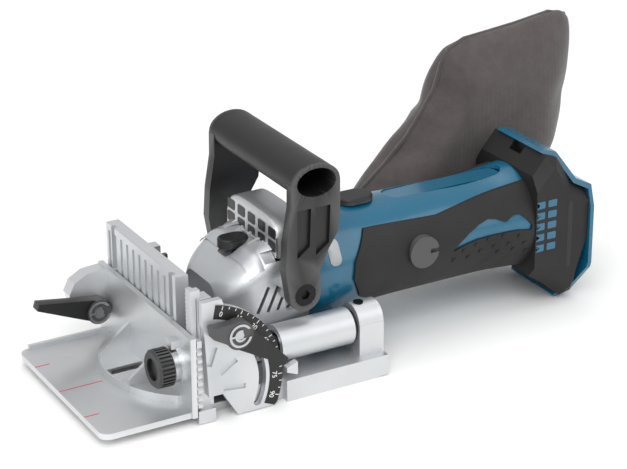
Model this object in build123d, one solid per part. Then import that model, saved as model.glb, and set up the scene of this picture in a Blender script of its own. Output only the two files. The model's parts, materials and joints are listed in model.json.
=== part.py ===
from build123d import *
import os
from math import cos, degrees, hypot, pi, radians, sin, sqrt, tan

# Biscuit joiner, in millimetres. +Z is up, +X runs back from the fence to the battery mount, and the
# tool stands on z = 0. Pieces are drawn with x measured back from the fence face; save() moves them
# so that the origin lies on the sole, under the blade spindle.

# ---- Blade, spindle and plunge ----
blade_radius = 50.0
blade_height = 7.9          # middle of the tooth above the sole
tooth_width = 3.9
blade_body = 2.6
tooth_count = 6
blade_retreat = 5.0         # blade edge behind the fence face, at rest
plunge_stroke = 24.0
spindle_x = blade_radius + blade_retreat
spindle_radius = 6.0
blade_gap = 0.85            # blade chamber clear of the teeth

# ---- Fits ----
running = 0.05              # shaft in a hole, on the radius
slide_gap = 0.3             # between pieces that move past each other
cover_screw_depth = 0.3     # screw heads sunk into the cover

# ---- Base ----
base_half_width = 61.5
front_half_width = 56.9     # where the quadrants stand outside the base
base_front = 13.4
base_rear = 118.0
rail_step = 56.5            # where the base widens behind the quadrants
deck_notch = 26.6           # the front corners are cut back this far for the fence's feet
deck_top = 13.4
deck_bottom = blade_height + tooth_width / 2 + blade_gap
deck_slot_half = 17.5
post_front = 107.6
post_rear = 123.8
post_top = 43.0

# ---- Guide bars and sleeves ----
bar_y = 45.0
bar_z = 30.0
bar_radius = 5.0
sleeve_radius = bar_radius + 6.0
sleeve_front = 57.0
sleeve_rear = 105.0
spring_wire = 1.2
spring_pocket = bar_radius + 2.8
sleeve_bush = 15.0          # length of the plain bore at the rear of a sleeve

# ---- Blade cover ----
cover_front = 13.8
cover_rear = 110.0
cover_half = 54.3
cover_top = blade_height - tooth_width / 2 - blade_gap
hinge_radius = 1.6
hinge_z = 3.1
hinge_back = 3.4            # hinge behind the cover's rear edge

# ---- Tilting fence ----
tilt_x = 2.2
tilt_z = 21.0
fence_foot_inner = 50.6     # feet stand outside the plunged blade
panel_front = 0.4
panel_rear = 8.5
panel_far = 55.5
panel_near = -36.0
panel_top = 80.5
panel_bottom = 12.4
rib_pitch = 8.2
rib_groove = 3.0
cheek_front = 3.7
cheek_rear = 12.0
cheek_inner = 47.5
quadrant_inner = 57.5
quadrant_thick = 4.0
quadrant_radius = 51.2
scale_inner = 43.0
scale_thick = 0.6
lock_slot_radius = 38.5
stud_radius = 2.3
lock_stud_angle = 56.0
slot_end_angle = -24.0
rail_inner = 22.0
rail_outer = 26.0
rail_height = 1.8
tilt_range = 45.0

# ---- Angle guide ----
guide_half = 60.0
guide_reach = 57.5
guide_bottom = 4.9
flange_thick = 3.6
web_thick = 3.4
web_top = 53.7
dome_radius = blade_radius + 8.0
dome_wall = 1.4
dome_roof = 11.5
gusset_y = 20.0
gusset_thick = 2.6
gusset_top = 31.4
gusset_reach = 23.2
window_half = 43.5
guide_travel = 32.0
key_width = 4.0
key_depth = 2.6
key_places = (46.0, -30.0)

# ---- Height knob, pinion and rack ----
knob_y = -42.8
knob_z = 31.5
knob_radius = 11.3
knob_length = 9.6
collar_radius = 10.2
collar_length = 5.6
pinion_module = 0.8
pinion_teeth = 12
pinion_width = 2.5
rack_rear = 3.4
rack_bottom = 10.5
rack_step = 51.8
rack_outer = -61.2
post_outer = -55.0
post_back = 6.0
edge_pitch = 4.7

# ---- Gear housing ----
nose_front = 33.5
motor_z = 54.0
motor_radius = 33.0
collar_front = 68.0
collar_rear = 87.0
collar_half = 35.0
collar_height = 40.0
housing_floor = 24.0
grip_pivot_x = 74.6
grip_pivot_z = 58.7
grip_inner = 44.0
boss_radius = 9.0
shell = 3.0

# ---- Gears ----
bevel_module = 1.25
bevel_teeth = 30
bevel_pinion_teeth = 13
bevel_face = 5.0

# ---- Motor housing ----
body_front = 88.0
body_rear = 253.0
mount_front = body_rear - 7.0
body_wall = 2.4
panel_skin = 1.4            # rubber panel standing proud of the housing
switch_x = 136.0
switch_length = 24.0
switch_width = 17.0
switch_travel = 7.0
brush_x = 166.0
brush_radius = 10.0

# ---- Battery mount ----
mount_half = 33.5
rim_half = 35.5
rim_thick = 2.6
socket_half = 26.0

# ---- Front grip ----
grip_half = 51.0
grip_bar_z = 126.0
grip_bar_x = 82.0
grip_bar_long = 30.0
grip_bar_tall = 20.0
grip_wall = 2.6

# ---- Dust bag and nozzle ----
bag_y = 57.0
bag_thick = 29.0
nozzle_z = 15.0
nozzle_lean = 52.0
nozzle_radius = 11.6
collar_wall = 2.4
bag_wall = 1.5

AXES = {"x": (1, 0, 0), "y": (0, 1, 0), "z": (0, 0, 1)}
TURNS = {"x": Rot(0, 90, 0), "y": Rot(-90, 0, 0), "z": Rot(0, 0, 0)}


# ---- Drawing helpers ----
def block(x0, x1, y0, y1, z0, z1):
    """A box from its low and high sides."""
    return Pos((x0 + x1) / 2, (y0 + y1) / 2, (z0 + z1) / 2) * Box(x1 - x0, y1 - y0, z1 - z0)


def rod(axis, start, length, radius):
    """A cylinder that starts at a point and runs along +axis."""
    align = (Align.CENTER, Align.CENTER, Align.MIN)
    return Pos(*start) * TURNS[axis] * Cylinder(radius, length, align=align)


def tube(axis, start, length, outer, inner):
    """A cylinder with a bore right through."""
    return rod(axis, start, length, outer) - rod(axis, start, length, inner)


def prism(axis, points, low, high):
    """A polygon swept from low to high along an axis, its points in the other two, in X, Y, Z order."""
    spots = {
        "x": [(low, a, b) for a, b in points],
        "y": [(a, low, b) for a, b in points],
        "z": [(a, b, low) for a, b in points],
    }[axis]
    face = make_face(Polyline(*spots, close=True))
    return extrude(face, amount=high - low, dir=AXES[axis])


def fan(start, end, low, high, reach=90.0):
    """A wedge about the tilt axis between two angles, seen from the near side."""
    steps = [start + (end - start) * k / 6 for k in range(7)]
    rim = [(tilt_x + reach * cos(radians(a)), tilt_z + reach * sin(radians(a))) for a in steps]
    return prism("y", [(tilt_x, tilt_z)] + rim, low, high)


def arc_band(inner, outer, start, end, low, high):
    """Part of a ring about the tilt axis."""
    ring = tube("y", (tilt_x, low, tilt_z), high - low, outer, inner)
    return ring & fan(start, end, low, high)


def on_arc(radius, angle):
    """The x and z of a place about the tilt axis."""
    return tilt_x + radius * cos(radians(angle)), tilt_z + radius * sin(radians(angle))


def section(x, half_width, low, high, corner):
    """A rounded rectangle across the tool at x."""
    plane = Plane(origin=(x, 0, (low + high) / 2), x_dir=(0, 1, 0), z_dir=(1, 0, 0))
    return plane * RectangleRounded(2 * half_width, high - low, corner)


def oval(x, half_width, half_height, middle=motor_z):
    """An ellipse across the tool at x."""
    plane = Plane(origin=(x, 0, middle), x_dir=(0, 1, 0), z_dir=(1, 0, 0))
    return plane * Ellipse(half_width, half_height)


def both_sides(make):
    """The same piece on the near and the far side, as make(-1) and make(1)."""
    return [make(-1), make(1)]


def bolt(axis, start, head_radius, head_length, radius, length, socket, sense=1):
    """A socket screw: its head starts at a point and its shank runs on along the axis."""
    direction = Vector(*AXES[axis]) * sense
    head_start = Vector(*start)
    shank_start = head_start + direction * head_length
    low_head = head_start if sense > 0 else head_start - Vector(*AXES[axis]) * head_length
    low_shank = shank_start if sense > 0 else shank_start - Vector(*AXES[axis]) * length
    body = rod(axis, tuple(low_head), head_length, head_radius)
    body += rod(axis, tuple(low_shank), length, radius)
    depth = head_length * 0.6
    low_hole = head_start if sense > 0 else head_start - Vector(*AXES[axis]) * depth
    hexagon = Pos(*tuple(low_hole)) * TURNS[axis] * extrude(RegularPolygon(socket, 6), depth)
    return body - hexagon


def save(name, *solids):
    """Write one sub-part, moved so that the origin lies under the spindle."""
    moved = [Pos(-spindle_x, 0, 0) * solid for solid in solids]
    shape = moved[0] if len(moved) == 1 else Compound(children=moved)
    export_step(shape, f"parts/{name}.step")


# ---- Base ----
def base_casting():
    """Deck over the blade, side rails, bar bosses, rear posts and the arms of the lock studs."""
    deck = block(base_front, base_rear, -front_half_width, front_half_width, deck_bottom, deck_top)
    deck += block(rail_step, base_rear, -base_half_width, base_half_width, 0, deck_top)
    deck -= block(rail_step - 1, cover_rear + 8, -cover_half - slide_gap, cover_half + slide_gap, -1, deck_bottom)
    deck -= chamber(2.0, deck_bottom + 0.2)
    slot = block(spindle_x - plunge_stroke, spindle_x, -deck_slot_half, deck_slot_half, 0, deck_top + 1)
    for x in (spindle_x - plunge_stroke, spindle_x):
        slot += rod("z", (x, 0, 0), deck_top + 1, deck_slot_half)
    deck -= slot & block(base_front + 1.5, base_rear, -40, 40, 0, deck_top + 1)
    for side in (-1, 1):
        corner = sorted((side * (fence_foot_inner - 5), side * (base_half_width + 1)))
        deck -= block(base_front - 1, deck_notch, *corner, -1, deck_top + 1)
        deck += base_side(side)
    deck += turret_bracket()
    bores = [rod("x", (bar_boss_front - 1, s * bar_y, bar_z), post_rear, bar_radius) for s in (-1, 1)]
    for bore in bores:
        deck -= bore
    hinge = rod("y", (cover_rear + hinge_back, -cover_half - 4, hinge_z), 2 * cover_half + 8, hinge_radius)
    deck -= hinge
    deck -= dust_channel()
    for side in (-1, 1):
        deck -= post_screw(side)
        deck -= rod("x", (bar_boss_rear, side * bar_y, bar_z), 4, spring_pocket + slide_gap)
    for side in (-1, 1):
        x, z = on_arc(lock_slot_radius, lock_stud_angle)
        deck -= rod("y", (x, side * (front_half_width + 1) - (0 if side < 0 else 12), z), 12, stud_radius)
        deck += rod("z", (cover_screw_x, side * cover_screw_y, cover_top + slide_gap), 5.6, 4.2)
        deck -= rod("z", (cover_screw_x, side * cover_screw_y, -1), 9, cover_screw_radius + 0.6)
    return deck


bar_boss_front = 19.0
bar_boss_rear = 30.0
cover_screw_x = 84.0
cover_screw_y = 49.5
cover_screw_radius = 2.0


def chamber(margin, top):
    """The space that the blade sweeps, from under the deck down to the cover."""
    radius = blade_radius + margin
    space = block(spindle_x - plunge_stroke, spindle_x, -radius, radius, cover_top - 1, top)
    space += rod("z", (spindle_x, 0, cover_top - 1), top - cover_top + 1, radius)
    space += rod("z", (spindle_x - plunge_stroke, 0, cover_top - 1), top - cover_top + 1, radius)
    return space


def base_side(side):
    """One side of the base: rail, bar bosses, rear post, stud arm and tilt rail."""
    def span(a, b):
        return (a, b) if side > 0 else (-b, -a)
    low, high = span(cover_half + slide_gap, front_half_width)
    body = block(27.0, rail_step + 1, low, high, 0, deck_top)
    arm_low, arm_high = span(49.5, front_half_width)
    arm = [(18.6, 21.6), (26.4, 13.0), (32.2, 13.0), (32.2, 60.5), (18.6, 60.5)]
    body += prism("y", arm, arm_low, arm_high)
    boss_low, boss_high = span(bar_y - 8, fence_foot_inner - 5)
    foot_low, foot_high = span(bar_y - 8, bar_y + 8)
    body += rod("x", (bar_boss_front, side * bar_y, bar_z), bar_boss_rear - bar_boss_front, 8.6)
    body += block(bar_boss_front, bar_boss_rear, boss_low, boss_high, deck_top - 1, bar_z)
    body += block(deck_notch, bar_boss_rear, foot_low, foot_high, deck_top - 1, bar_z)
    post_low, post_high = span(34.6, 56.0)
    post = block(post_front, post_rear, post_low, post_high, deck_top - 1, post_top - 10)
    post += rod("x", (post_front, side * bar_y, post_top - 10.7), post_rear - post_front, 10.7)
    foot = span(34.6, base_half_width)
    post += block(base_rear - 8, post_rear, foot[0], foot[1], 0.6, deck_top)
    post -= block(base_rear - 9, cover_rear + 8, *span(0, cover_half + slide_gap), -1, deck_bottom)
    body += post
    rail = span(front_half_width - 1, quadrant_inner + rail_height)
    body += arc_band(rail_inner, rail_outer, 2, 62, *rail) & block(18.6, 32.2, *rail, 13.4, 60)
    return body


def dust_channel():
    """The chip duct, out through the base's far rear corner."""
    return block(base_rear - 1, post_rear + 1, 46.5, 58.5, 5.0, 10.4)


def dust_nozzle():
    """A spout behind the far post, which the bag's collar pushes onto."""
    flange = block(post_rear, post_rear + 2.6, 44.0, base_half_width, 1.2, deck_top)
    throat = block(post_rear, post_rear + 11, 46.0, 68.0, 2.5, 20.0)
    body = flange + throat + spout(nozzle_radius, -2, 30)
    inside = block(post_rear - 1, post_rear + 9, 48.0, 66.0, 4.5, 18.0)
    body -= inside + spout(nozzle_radius - 2.0, -4, 40)
    return body & block(post_rear, post_rear + 80, 0, 100, 0, 100)


def spout(radius, start, end):
    """A cylinder along the bag's neck, which leans up and back."""
    here = Pos(post_rear + 3, bag_y, nozzle_z) * Rot(0, nozzle_lean, 0)
    align = (Align.CENTER, Align.CENTER, Align.MIN)
    return here * Pos(0, 0, start) * Cylinder(radius, end - start, align=align)


def pouch(inset):
    """The bag's form, or its inside when inset."""
    outline = [(143, 40), (167, 63), (204, 106), (240, 151), (252, 154), (322, 155.5), (331, 148)]
    outline += [(334, 124), (327, 57), (300, 44), (190, 32), (160, 26)]
    low, high = bag_y - bag_thick / 2 + inset, bag_y + bag_thick / 2 - inset
    side = make_face(Polyline(*[(x, low, z) for x, z in outline], close=True))
    side = offset(side, amount=-inset) if inset else side
    form = extrude(side, amount=high - low, dir=(0, 1, 0))
    rims = [e for e in form.edges() if abs(e.center().Y - low) < 0.01 or abs(e.center().Y - high) < 0.01]
    return chamfer(rims, 6)


def dust_bag():
    """A hollow pouch on a stiff collar, wide at its far end."""
    bore = nozzle_radius + running
    bag = pouch(0) - pouch(bag_wall) - spout(bore + collar_wall - 0.5, -20, 44)
    neck = spout(bore + collar_wall, 12, 46) - spout(bore, -20, 60)
    return bag + neck


def guide_bars():
    """Two bars that the sleeves slide on."""
    return both_sides(lambda s: rod("x", (bar_boss_front, s * bar_y, bar_z), post_rear - bar_boss_front - 2, bar_radius))


def return_spring(side):
    """A round-wire spring between the front boss and the bush inside the sleeve."""
    start = bar_boss_rear
    length = sleeve_rear - sleeve_bush - start
    turns = 9
    mean = spring_pocket - spring_wire - 0.1
    coil = Helix(pitch=(length - 2 * spring_wire) / turns, height=length - 2 * spring_wire, radius=mean)
    start_plane = Plane(origin=coil @ 0, z_dir=coil % 0)
    wire = sweep(start_plane * Circle(spring_wire / 2), path=coil)
    return Pos(start + spring_wire, side * bar_y, bar_z) * Rot(0, 90, 0) * wire


def rear_bumper(side):
    """A rubber washer in front of the rear post."""
    start = (sleeve_rear + slide_gap, side * bar_y, bar_z)
    return tube("x", start, post_front - sleeve_rear - slide_gap, 9.0, bar_radius)


def post_screw(side):
    """A set screw down onto the bar in the rear post."""
    top = post_top
    return rod("z", (112.8, side * bar_y, bar_z + bar_radius), top - bar_z - bar_radius + 0.6, 3.0)


def lock_studs():
    """The studs that ride in the quadrant slots."""
    x, z = on_arc(lock_slot_radius, lock_stud_angle)
    near = rod("y", (x, -front_half_width - 11.6, z), 18.6, stud_radius)
    far = rod("y", (x, front_half_width - 7, z), 12.4, stud_radius)
    far += rod("y", (x, quadrant_inner + quadrant_thick + slide_gap, z), 2.4, 4.5)
    return [near, far]


def angle_pointer():
    """The pointer on the base's near side, at the quadrant's edge."""
    return prism("y", [(56.5, 21.5), (63.5, 24.0), (63.5, 16.0), (56.5, 18.8)], -base_half_width, -57.4)


# ---- Blade cover ----
def blade_cover():
    """The plate under the blade, hinged at its rear edge."""
    plate = block(cover_front, cover_rear, -cover_half, cover_half, 0, cover_top)
    nut_room = block(spindle_x - plunge_stroke, spindle_x, -15.5, 15.5, 2.6, cover_top + 1)
    for x in (spindle_x - plunge_stroke, spindle_x):
        nut_room += rod("z", (x, 0, 2.6), cover_top, 15.5)
    plate -= nut_room
    for side in (-1, 1):
        corner = sorted((side * fence_foot_inner, side * (cover_half + 1)))
        plate -= block(cover_front - 1, deck_notch, *corner, -1, cover_top + 1)
    knuckle = rod("y", (cover_rear + hinge_back, -40, hinge_z), 80, hinge_radius + 1.1)
    knuckle += block(cover_rear - 1, cover_rear + hinge_back, -40, 40, 0, cover_top)
    plate += knuckle & block(cover_rear - 1, base_rear - 0.6, -40, 40, 0.2, 9)
    plate -= rod("y", (cover_rear + hinge_back, -60, hinge_z), 120, hinge_radius + running)
    for side in (-1, 1):
        plate -= rod("z", (cover_screw_x, side * cover_screw_y, 0), 9, cover_screw_radius)
        plate -= rod("z", (cover_screw_x, side * cover_screw_y, 0), cover_screw_depth + 1.6, 3.7)
    return plate


def cover_screw(side):
    """A captive screw that holds the cover shut."""
    start = (cover_screw_x, side * cover_screw_y, cover_screw_depth)
    return bolt("z", start, 3.7, 1.6, cover_screw_radius, 5.6, 1.5)


def cover_pin():
    """The cover's hinge pin."""
    return rod("y", (cover_rear + hinge_back, -cover_half - 4, hinge_z), 2 * cover_half + 8, hinge_radius)


# ---- Tilting fence ----
def fence_casting():
    """Ribbed panel, cross bar, cheeks and lower blocks."""
    body = block(panel_front, panel_rear, panel_near, panel_far, panel_bottom, panel_top)
    count = int((panel_far - panel_near) / rib_pitch)
    for k in range(count):
        y = panel_near + 3.6 + k * rib_pitch
        body -= block(panel_front - 1, panel_front + 1.0, y, y + rib_groove, panel_bottom - 1, panel_top - 4)
    inner = quadrant_inner - 0.4
    body += block(panel_front, panel_rear + 1.5, -inner, inner, panel_bottom, 23.4)
    body += block(cheek_front, cheek_rear, -inner, -cheek_inner, 9.0, 74.5)
    body += block(cheek_front, cheek_rear, panel_far - 8, inner, 9.0, 52.0)
    for low, high in ((-base_half_width, -fence_foot_inner), (fence_foot_inner, base_half_width)):
        body += block(panel_front, 11.0, low, high, 0.4, 8.6)
    body += block(cheek_front, 11.0, -inner, -fence_foot_inner, 8.0, 13.0)
    body += block(cheek_front, 11.0, fence_foot_inner, inner, 8.0, 13.0)
    body -= block(panel_front - 1, cheek_front, rack_outer - 1, pinion_line, rack_bottom - 0.1, 90)
    for place in key_places:
        half = key_width / 2 + slide_gap / 2
        body -= block(0, panel_front + key_depth + slide_gap, place - half, place + half, 8.7, 90)
    body -= block(0, cheek_front + 0.3, pinion_line, panel_near - 1.5, 24.0, 90)
    return body


pinion_pitch_radius = pinion_module * pinion_teeth / 2
pinion_line = knob_y - pinion_pitch_radius


def quadrant_outline(low, high):
    """The near quadrant's plate before its slot is cut."""
    disc = rod("y", (tilt_x, low, tilt_z), high - low, quadrant_radius)
    outline = [(7.0, 16.0), (15.6, 16.0), (25.0, 0.6), (48.0, 0.6), (70.0, 20.0), (70.0, 90.0)]
    outline += [(16.5, 90.0), (16.5, 74.2), (3.9, 74.2)]
    plate = disc & prism("y", outline, low, high)
    top = [(3.9, 60.0), (3.9, 74.2), (16.0, 74.2), (19.0, 66.0), (19.0, 60.0)]
    return plate + prism("y", top, low, high)


def angle_quadrant():
    """The near plate with the lock slot, three grooves and a seat for the scale."""
    low, high = -quadrant_inner - quadrant_thick, -quadrant_inner
    plate = quadrant_outline(low, high)
    half = stud_radius + running
    plate -= lock_slot(low - 1, high + 1)
    gap = 0.12
    plate -= arc_band(rail_inner - gap, rail_outer + gap, -50, 66, high - rail_height - 0.3, high + 1)
    plate -= arc_band(scale_inner, quadrant_radius + 1, -24, 79, low - 1, low + scale_thick)
    for angle, inner, outer in ((69.5, 15.0, 26.5), (32.5, 14.5, 26.5), (-7.0, 14.0, 28.0)):
        bar = block(inner, outer, low - 1, low + 1.2, -1.6, 1.6)
        plate -= Pos(tilt_x, 0, tilt_z) * Rot(0, -angle, 0) * bar
    return plate


def lock_slot(low, high):
    """The curved slot that the lock stud rides in."""
    half = stud_radius + running
    slot = arc_band(lock_slot_radius - half, lock_slot_radius + half, slot_end_angle, lock_stud_angle, low, high)
    for angle in (slot_end_angle, lock_stud_angle):
        x, z = on_arc(lock_slot_radius, angle)
        slot += rod("y", (x, low, z), high - low, half)
    return slot


def far_quadrant():
    """The plain far plate, which runs on the same kind of rail."""
    low, high = quadrant_inner, quadrant_inner + quadrant_thick
    plate = rod("y", (tilt_x, low, tilt_z), quadrant_thick, 43.0)
    plate &= prism("y", [(3.9, 16.0), (15.6, 16.0), (25.0, 0.6), (60.0, 0.6), (60.0, 56), (3.9, 56)], low, high)
    plate -= arc_band(rail_inner - 0.12, rail_outer + 0.12, -50, 66, low - 1, low + rail_height + 0.3)
    return plate - lock_slot(low - 1, high + 1)


def angle_scale():
    """The black scale ring in its seat."""
    low = -quadrant_inner - quadrant_thick
    ring = arc_band(scale_inner, quadrant_radius, -24, 79, low, low + scale_thick)
    return ring & quadrant_outline(low, low + scale_thick)


def height_rack():
    """The rack bar and its post: fine teeth towards the pinion, coarse ones on the outer edge."""
    body = block(panel_front, rack_rear, rack_outer, pinion_line - 0.9, rack_bottom, rack_step)
    body += block(panel_front, rack_rear, post_outer, pinion_line - 0.9, rack_step - 1, panel_top - 1)
    body += block(rack_rear - 1, post_back, post_outer, pinion_line - 3.2, rack_step, panel_top - 1)
    body -= block(rack_rear, post_back + 1, post_outer - 1, -cheek_inner + 0.01, 0, 74.6)
    pitch = pi * pinion_module
    count = int((panel_top - 2 - 25.0) / pitch)
    start = knob_z - 2.5 * pitch
    for k in range(count):
        z = start + k * pitch
        if z > panel_top - 3:
            break
        body += rack_tooth(z)
    for k in range(int((rack_step - rack_bottom) / edge_pitch)):
        z = rack_bottom + 1.4 + k * edge_pitch
        notch = [(rack_outer - 0.1, z), (rack_outer - 0.1, z + 3.0), (rack_outer + 1.7, z + 1.5)]
        body -= prism("x", notch, panel_front - 1, rack_rear + 1)
    return body


def rack_tooth(z):
    """One straight-sided tooth, its middle at height z."""
    root, tip = pinion_line - 1.0, pinion_line + 0.55 * pinion_module
    wide, narrow = 0.5 * pinion_module + 0.35, 0.5 * pinion_module - 0.12
    points = [(root, z - wide), (root, z + wide), (tip, z + narrow), (tip, z - narrow)]
    return prism("x", points, panel_front + slide_gap, rack_rear)


# ---- Angle guide ----
def angle_guide():
    """The flange and web that rest on the work, with gussets, blade dome, clamp lug and keys."""
    flange_top = guide_bottom + flange_thick
    body = guide_flange()
    body += block(-web_thick, 0, -guide_half - 1, guide_half + 1.6, guide_bottom, web_top)
    dome = rod("z", (spindle_x - plunge_stroke, 0, guide_bottom), dome_roof + dome_wall - guide_bottom, dome_radius)
    body += dome & block(-guide_reach, -0.01, -window_half - 2, window_half + 2, guide_bottom, 40)
    for side in (-1, 1):
        body += gusset(side)
    body += clamp_lug()
    body += rod("x", (-web_thick - 2.0, knob_y, knob_z), 2.0 + web_thick, collar_radius + 1.4)
    body += block(-8.0, -web_thick + 0.1, knob_y - 3.4, knob_y + 3.4, 42.5, 47.5)
    for place in key_places:
        half = key_width / 2 - slide_gap / 2
        body += block(-0.1, panel_front + key_depth, place - half, place + half, 14.0, web_top)
    cavity = rod("z", (spindle_x - plunge_stroke, 0, 0), dome_roof, dome_radius - 4.0)
    body -= cavity & block(-guide_reach, 1, -window_half, window_half, 0, dome_roof)
    body -= block(-26.0, -web_thick - 0.6, -3.5, 3.5, 0, 14)
    body -= rod("x", (-20, knob_y, knob_z), 30, knob_shaft + running)
    return body - rod("y", (clamp_x, 30, clamp_z), 40, clamp_stud)


knob_shaft = 3.0
clamp_x = -11.6
clamp_z = 29.6
clamp_stud = 2.5
lug_inner = 52.0


def guide_flange():
    """The flat flange with rounded front corners and a raised far edge."""
    top = guide_bottom + flange_thick
    flange = block(-guide_reach, 0, -guide_half, guide_half, guide_bottom, top)
    corners = [e for e in flange.edges().filter_by(Axis.Z) if e.center().X < -guide_reach + 1]
    flange = fillet(corners, 6.0)
    lip = block(-guide_reach + 6, 0, guide_half - 2.6, guide_half, top - 1, top + 2.6)
    return flange + lip


def gusset(side):
    """One triangular rib between flange and web."""
    low = side * gusset_y - gusset_thick / 2
    foot = guide_bottom + 1
    outline = [(-gusset_reach, foot), (-gusset_reach, 16.3), (-web_thick, gusset_top), (-1, gusset_top), (-1, foot)]
    return prism("y", outline, low, low + gusset_thick)


def clamp_lug():
    """The rounded lug that the clamp lever's stud passes through."""
    outline = [(-1, 20.0), (-12.5, 20.0), (-24.0, 32.0), (-26.5, 40.0), (-23.0, 47.0), (-15.0, 51.5), (-1, 52.5)]
    return prism("y", outline, lug_inner, guide_half + 1.6)


def knob_collar():
    """The plain silver ring behind the knob."""
    start = (-web_thick - 2.0 - collar_length + 2.0, knob_y, knob_z)
    return tube("x", (-web_thick - 2.0 - 3.4, knob_y, knob_z), 3.4, collar_radius, knob_shaft + running)


def guide_clamp_stud():
    """The clamp lever's stud through the lug."""
    body = rod("y", (clamp_x, lug_inner - 9.6, clamp_z), guide_half + 1.6 - lug_inner + 9.6, clamp_stud)
    return body + rod("y", (clamp_x, guide_half + 1.6, clamp_z), 2.4, 4.6)


def height_knob():
    """The knurled knob, turned to move the guide."""
    start = -web_thick - 2.0 - 3.4 - slide_gap - knob_length
    body = rod("x", (start, knob_y, knob_z), knob_length, knob_radius)
    body = chamfer([e for e in body.edges() if e.center().X < start + 0.1], 1.2)
    for k in range(30):
        cut = block(start + 1.8, start + knob_length - 0.8, -0.5, 0.5, knob_radius - 0.6, knob_radius + 1)
        body -= Pos(0, knob_y, knob_z) * Rot(12 * k, 0, 0) * cut
    body -= rod("x", (start - 1, knob_y, knob_z), 3.0, 6.5)
    return body - rod("x", (start + 4, knob_y, knob_z), 20, knob_shaft)


def involute_gear(teeth, module, width, backlash):
    """A flat spur gear about Z with involute flanks and a tooth centred on +X."""
    pitch = module * teeth / 2
    base = pitch * cos(radians(20))
    tip = pitch + 0.8 * module
    root = pitch - 1.15 * module
    flare = tan(radians(20)) - radians(20)
    half = pi / (2 * teeth) - backlash / (2 * pitch) + flare
    flank = []
    for k in range(5):
        radius = max(base, root) + (tip - max(base, root)) * k / 4
        roll = sqrt(max((radius / base) ** 2 - 1, 0))
        flank.append((radius, half - (roll - degrees_free(roll))))
    body = Cylinder(root, width)
    for k in range(teeth):
        turn = 2 * pi * k / teeth
        lower = [(r * cos(turn - a), r * sin(turn - a)) for r, a in flank]
        upper = [(r * cos(turn + a), r * sin(turn + a)) for r, a in reversed(flank)]
        inner = root - 0.4
        feet = [(inner * cos(turn + a), inner * sin(turn + a)) for a in (flank[0][1], -flank[0][1])]
        body += prism("z", lower + upper + feet, -width / 2, width / 2)
    return body


def degrees_free(roll):
    """The angle whose tangent is roll, in radians."""
    return radians(degrees(atan_of(roll)))


def atan_of(value):
    """Inverse tangent, as the angle of a vector."""
    return radians(Vector(1, 0, 0).get_angle(Vector(1, value, 0)))


def height_pinion():
    """The pinion and its shaft, fixed in the knob."""
    middle = panel_front + slide_gap + pinion_width / 2
    gear = TURNS["x"] * involute_gear(pinion_teeth, pinion_module, pinion_width, 0.25)
    gear = Pos(middle, knob_y, knob_z) * Rot(360 / pinion_teeth / 2 * 0, 0, 0) * gear
    start = -web_thick - 2.0 - 3.4 - slide_gap - knob_length + 4
    return gear + rod("x", (start, knob_y, knob_z), middle - start, knob_shaft)


# ---- Levers ----
def lever(centre, tip, head, width, thickness, low):
    """A cam lever in the XZ plane: a round head at a centre and an arm that narrows to its tip."""
    (cx, cz), (tx, tz) = centre, tip
    reach = hypot(tx - cx, tz - cz)
    ux, uz = (tx - cx) / reach, (tz - cz) / reach
    nx, nz = -uz, ux
    points = [
        (cx + nx * head * 0.9, cz + nz * head * 0.9),
        (tx + nx * width, tz + nz * width),
        (tx - nx * width * 0.4, tz - nz * width * 0.4),
        (cx - nx * head * 0.9 + ux * 3, cz - nz * head * 0.9 + uz * 3),
    ]
    body = prism("y", points, low + 1.2, low + thickness)
    return body + rod("y", (cx, low, cz), thickness, head)


def guide_lock_lever():
    """The lever that clamps the guide's height."""
    low = lug_inner - slide_gap - 8.4
    body = lever((clamp_x, clamp_z), (-49.0, 41.5), 7.6, 3.0, 8.4, low)
    return body - rod("y", (clamp_x, low - 1, clamp_z), 12, clamp_stud + running)


def lever_ring(x, z, low, bore):
    """An open retaining ring on a lever's stud."""
    ring = tube("y", (x, low, z), 0.8, 7.0, 5.6)
    ring += tube("y", (x, low, z), 0.8, 3.6, bore)
    ring += block(x - 6.2, x - 3.0, low, low + 0.8, z - 0.6, z + 0.6)
    return ring - block(x + 1.5, x + 8, low - 1, low + 2, z - 1.6, z + 3.4)


def angle_lock_lever():
    """The lever that locks the fence's angle, over the near quadrant."""
    high = -quadrant_inner - quadrant_thick - slide_gap
    centre = on_arc(lock_slot_radius, lock_stud_angle)
    body = lever(centre, (52.5, 28.5), 8.6, 3.2, 6.4, high - 6.4)
    x, z = centre
    body += prism("y", [(x - 4, z + 8), (x - 17, z + 7.5), (x - 16, z + 1), (x - 4, z - 6)], high - 6.4, high)
    return body - rod("y", (x, high - 8, z), 10, stud_radius + running)


# ---- Gear housing and bearing box ----
def housing_form(shrink):
    """The gear housing's outer form, or its inside when shrunk."""
    s = shrink
    nose = loft([
        section(nose_front + s, 19 - s, housing_floor + s, 60 - s, 9),
        section(nose_front + 8 + s / 2, 28 - s, housing_floor + s, 66.5 - s, 12),
        section(56, 33 - s, housing_floor + s, 75.5 - s, 14),
        section(collar_rear - 0.01, 34 - s, housing_floor + s, 84 - s, 20),
    ])
    return nose


def vent_collar(shrink):
    """The raised ring with the air outlets."""
    height = collar_height - shrink
    plane = Plane(origin=(collar_front + shrink, 0, motor_z), x_dir=(0, 1, 0), z_dir=(1, 0, 0))
    ring = extrude(plane * Ellipse(collar_half - shrink, height), collar_rear - collar_front - shrink)
    if shrink == 0:
        ring = chamfer([e for e in ring.edges() if e.center().X < collar_front + 0.1], 4)
    return ring & block(0, 200, -60, 60, housing_floor + shrink, 120)


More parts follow.
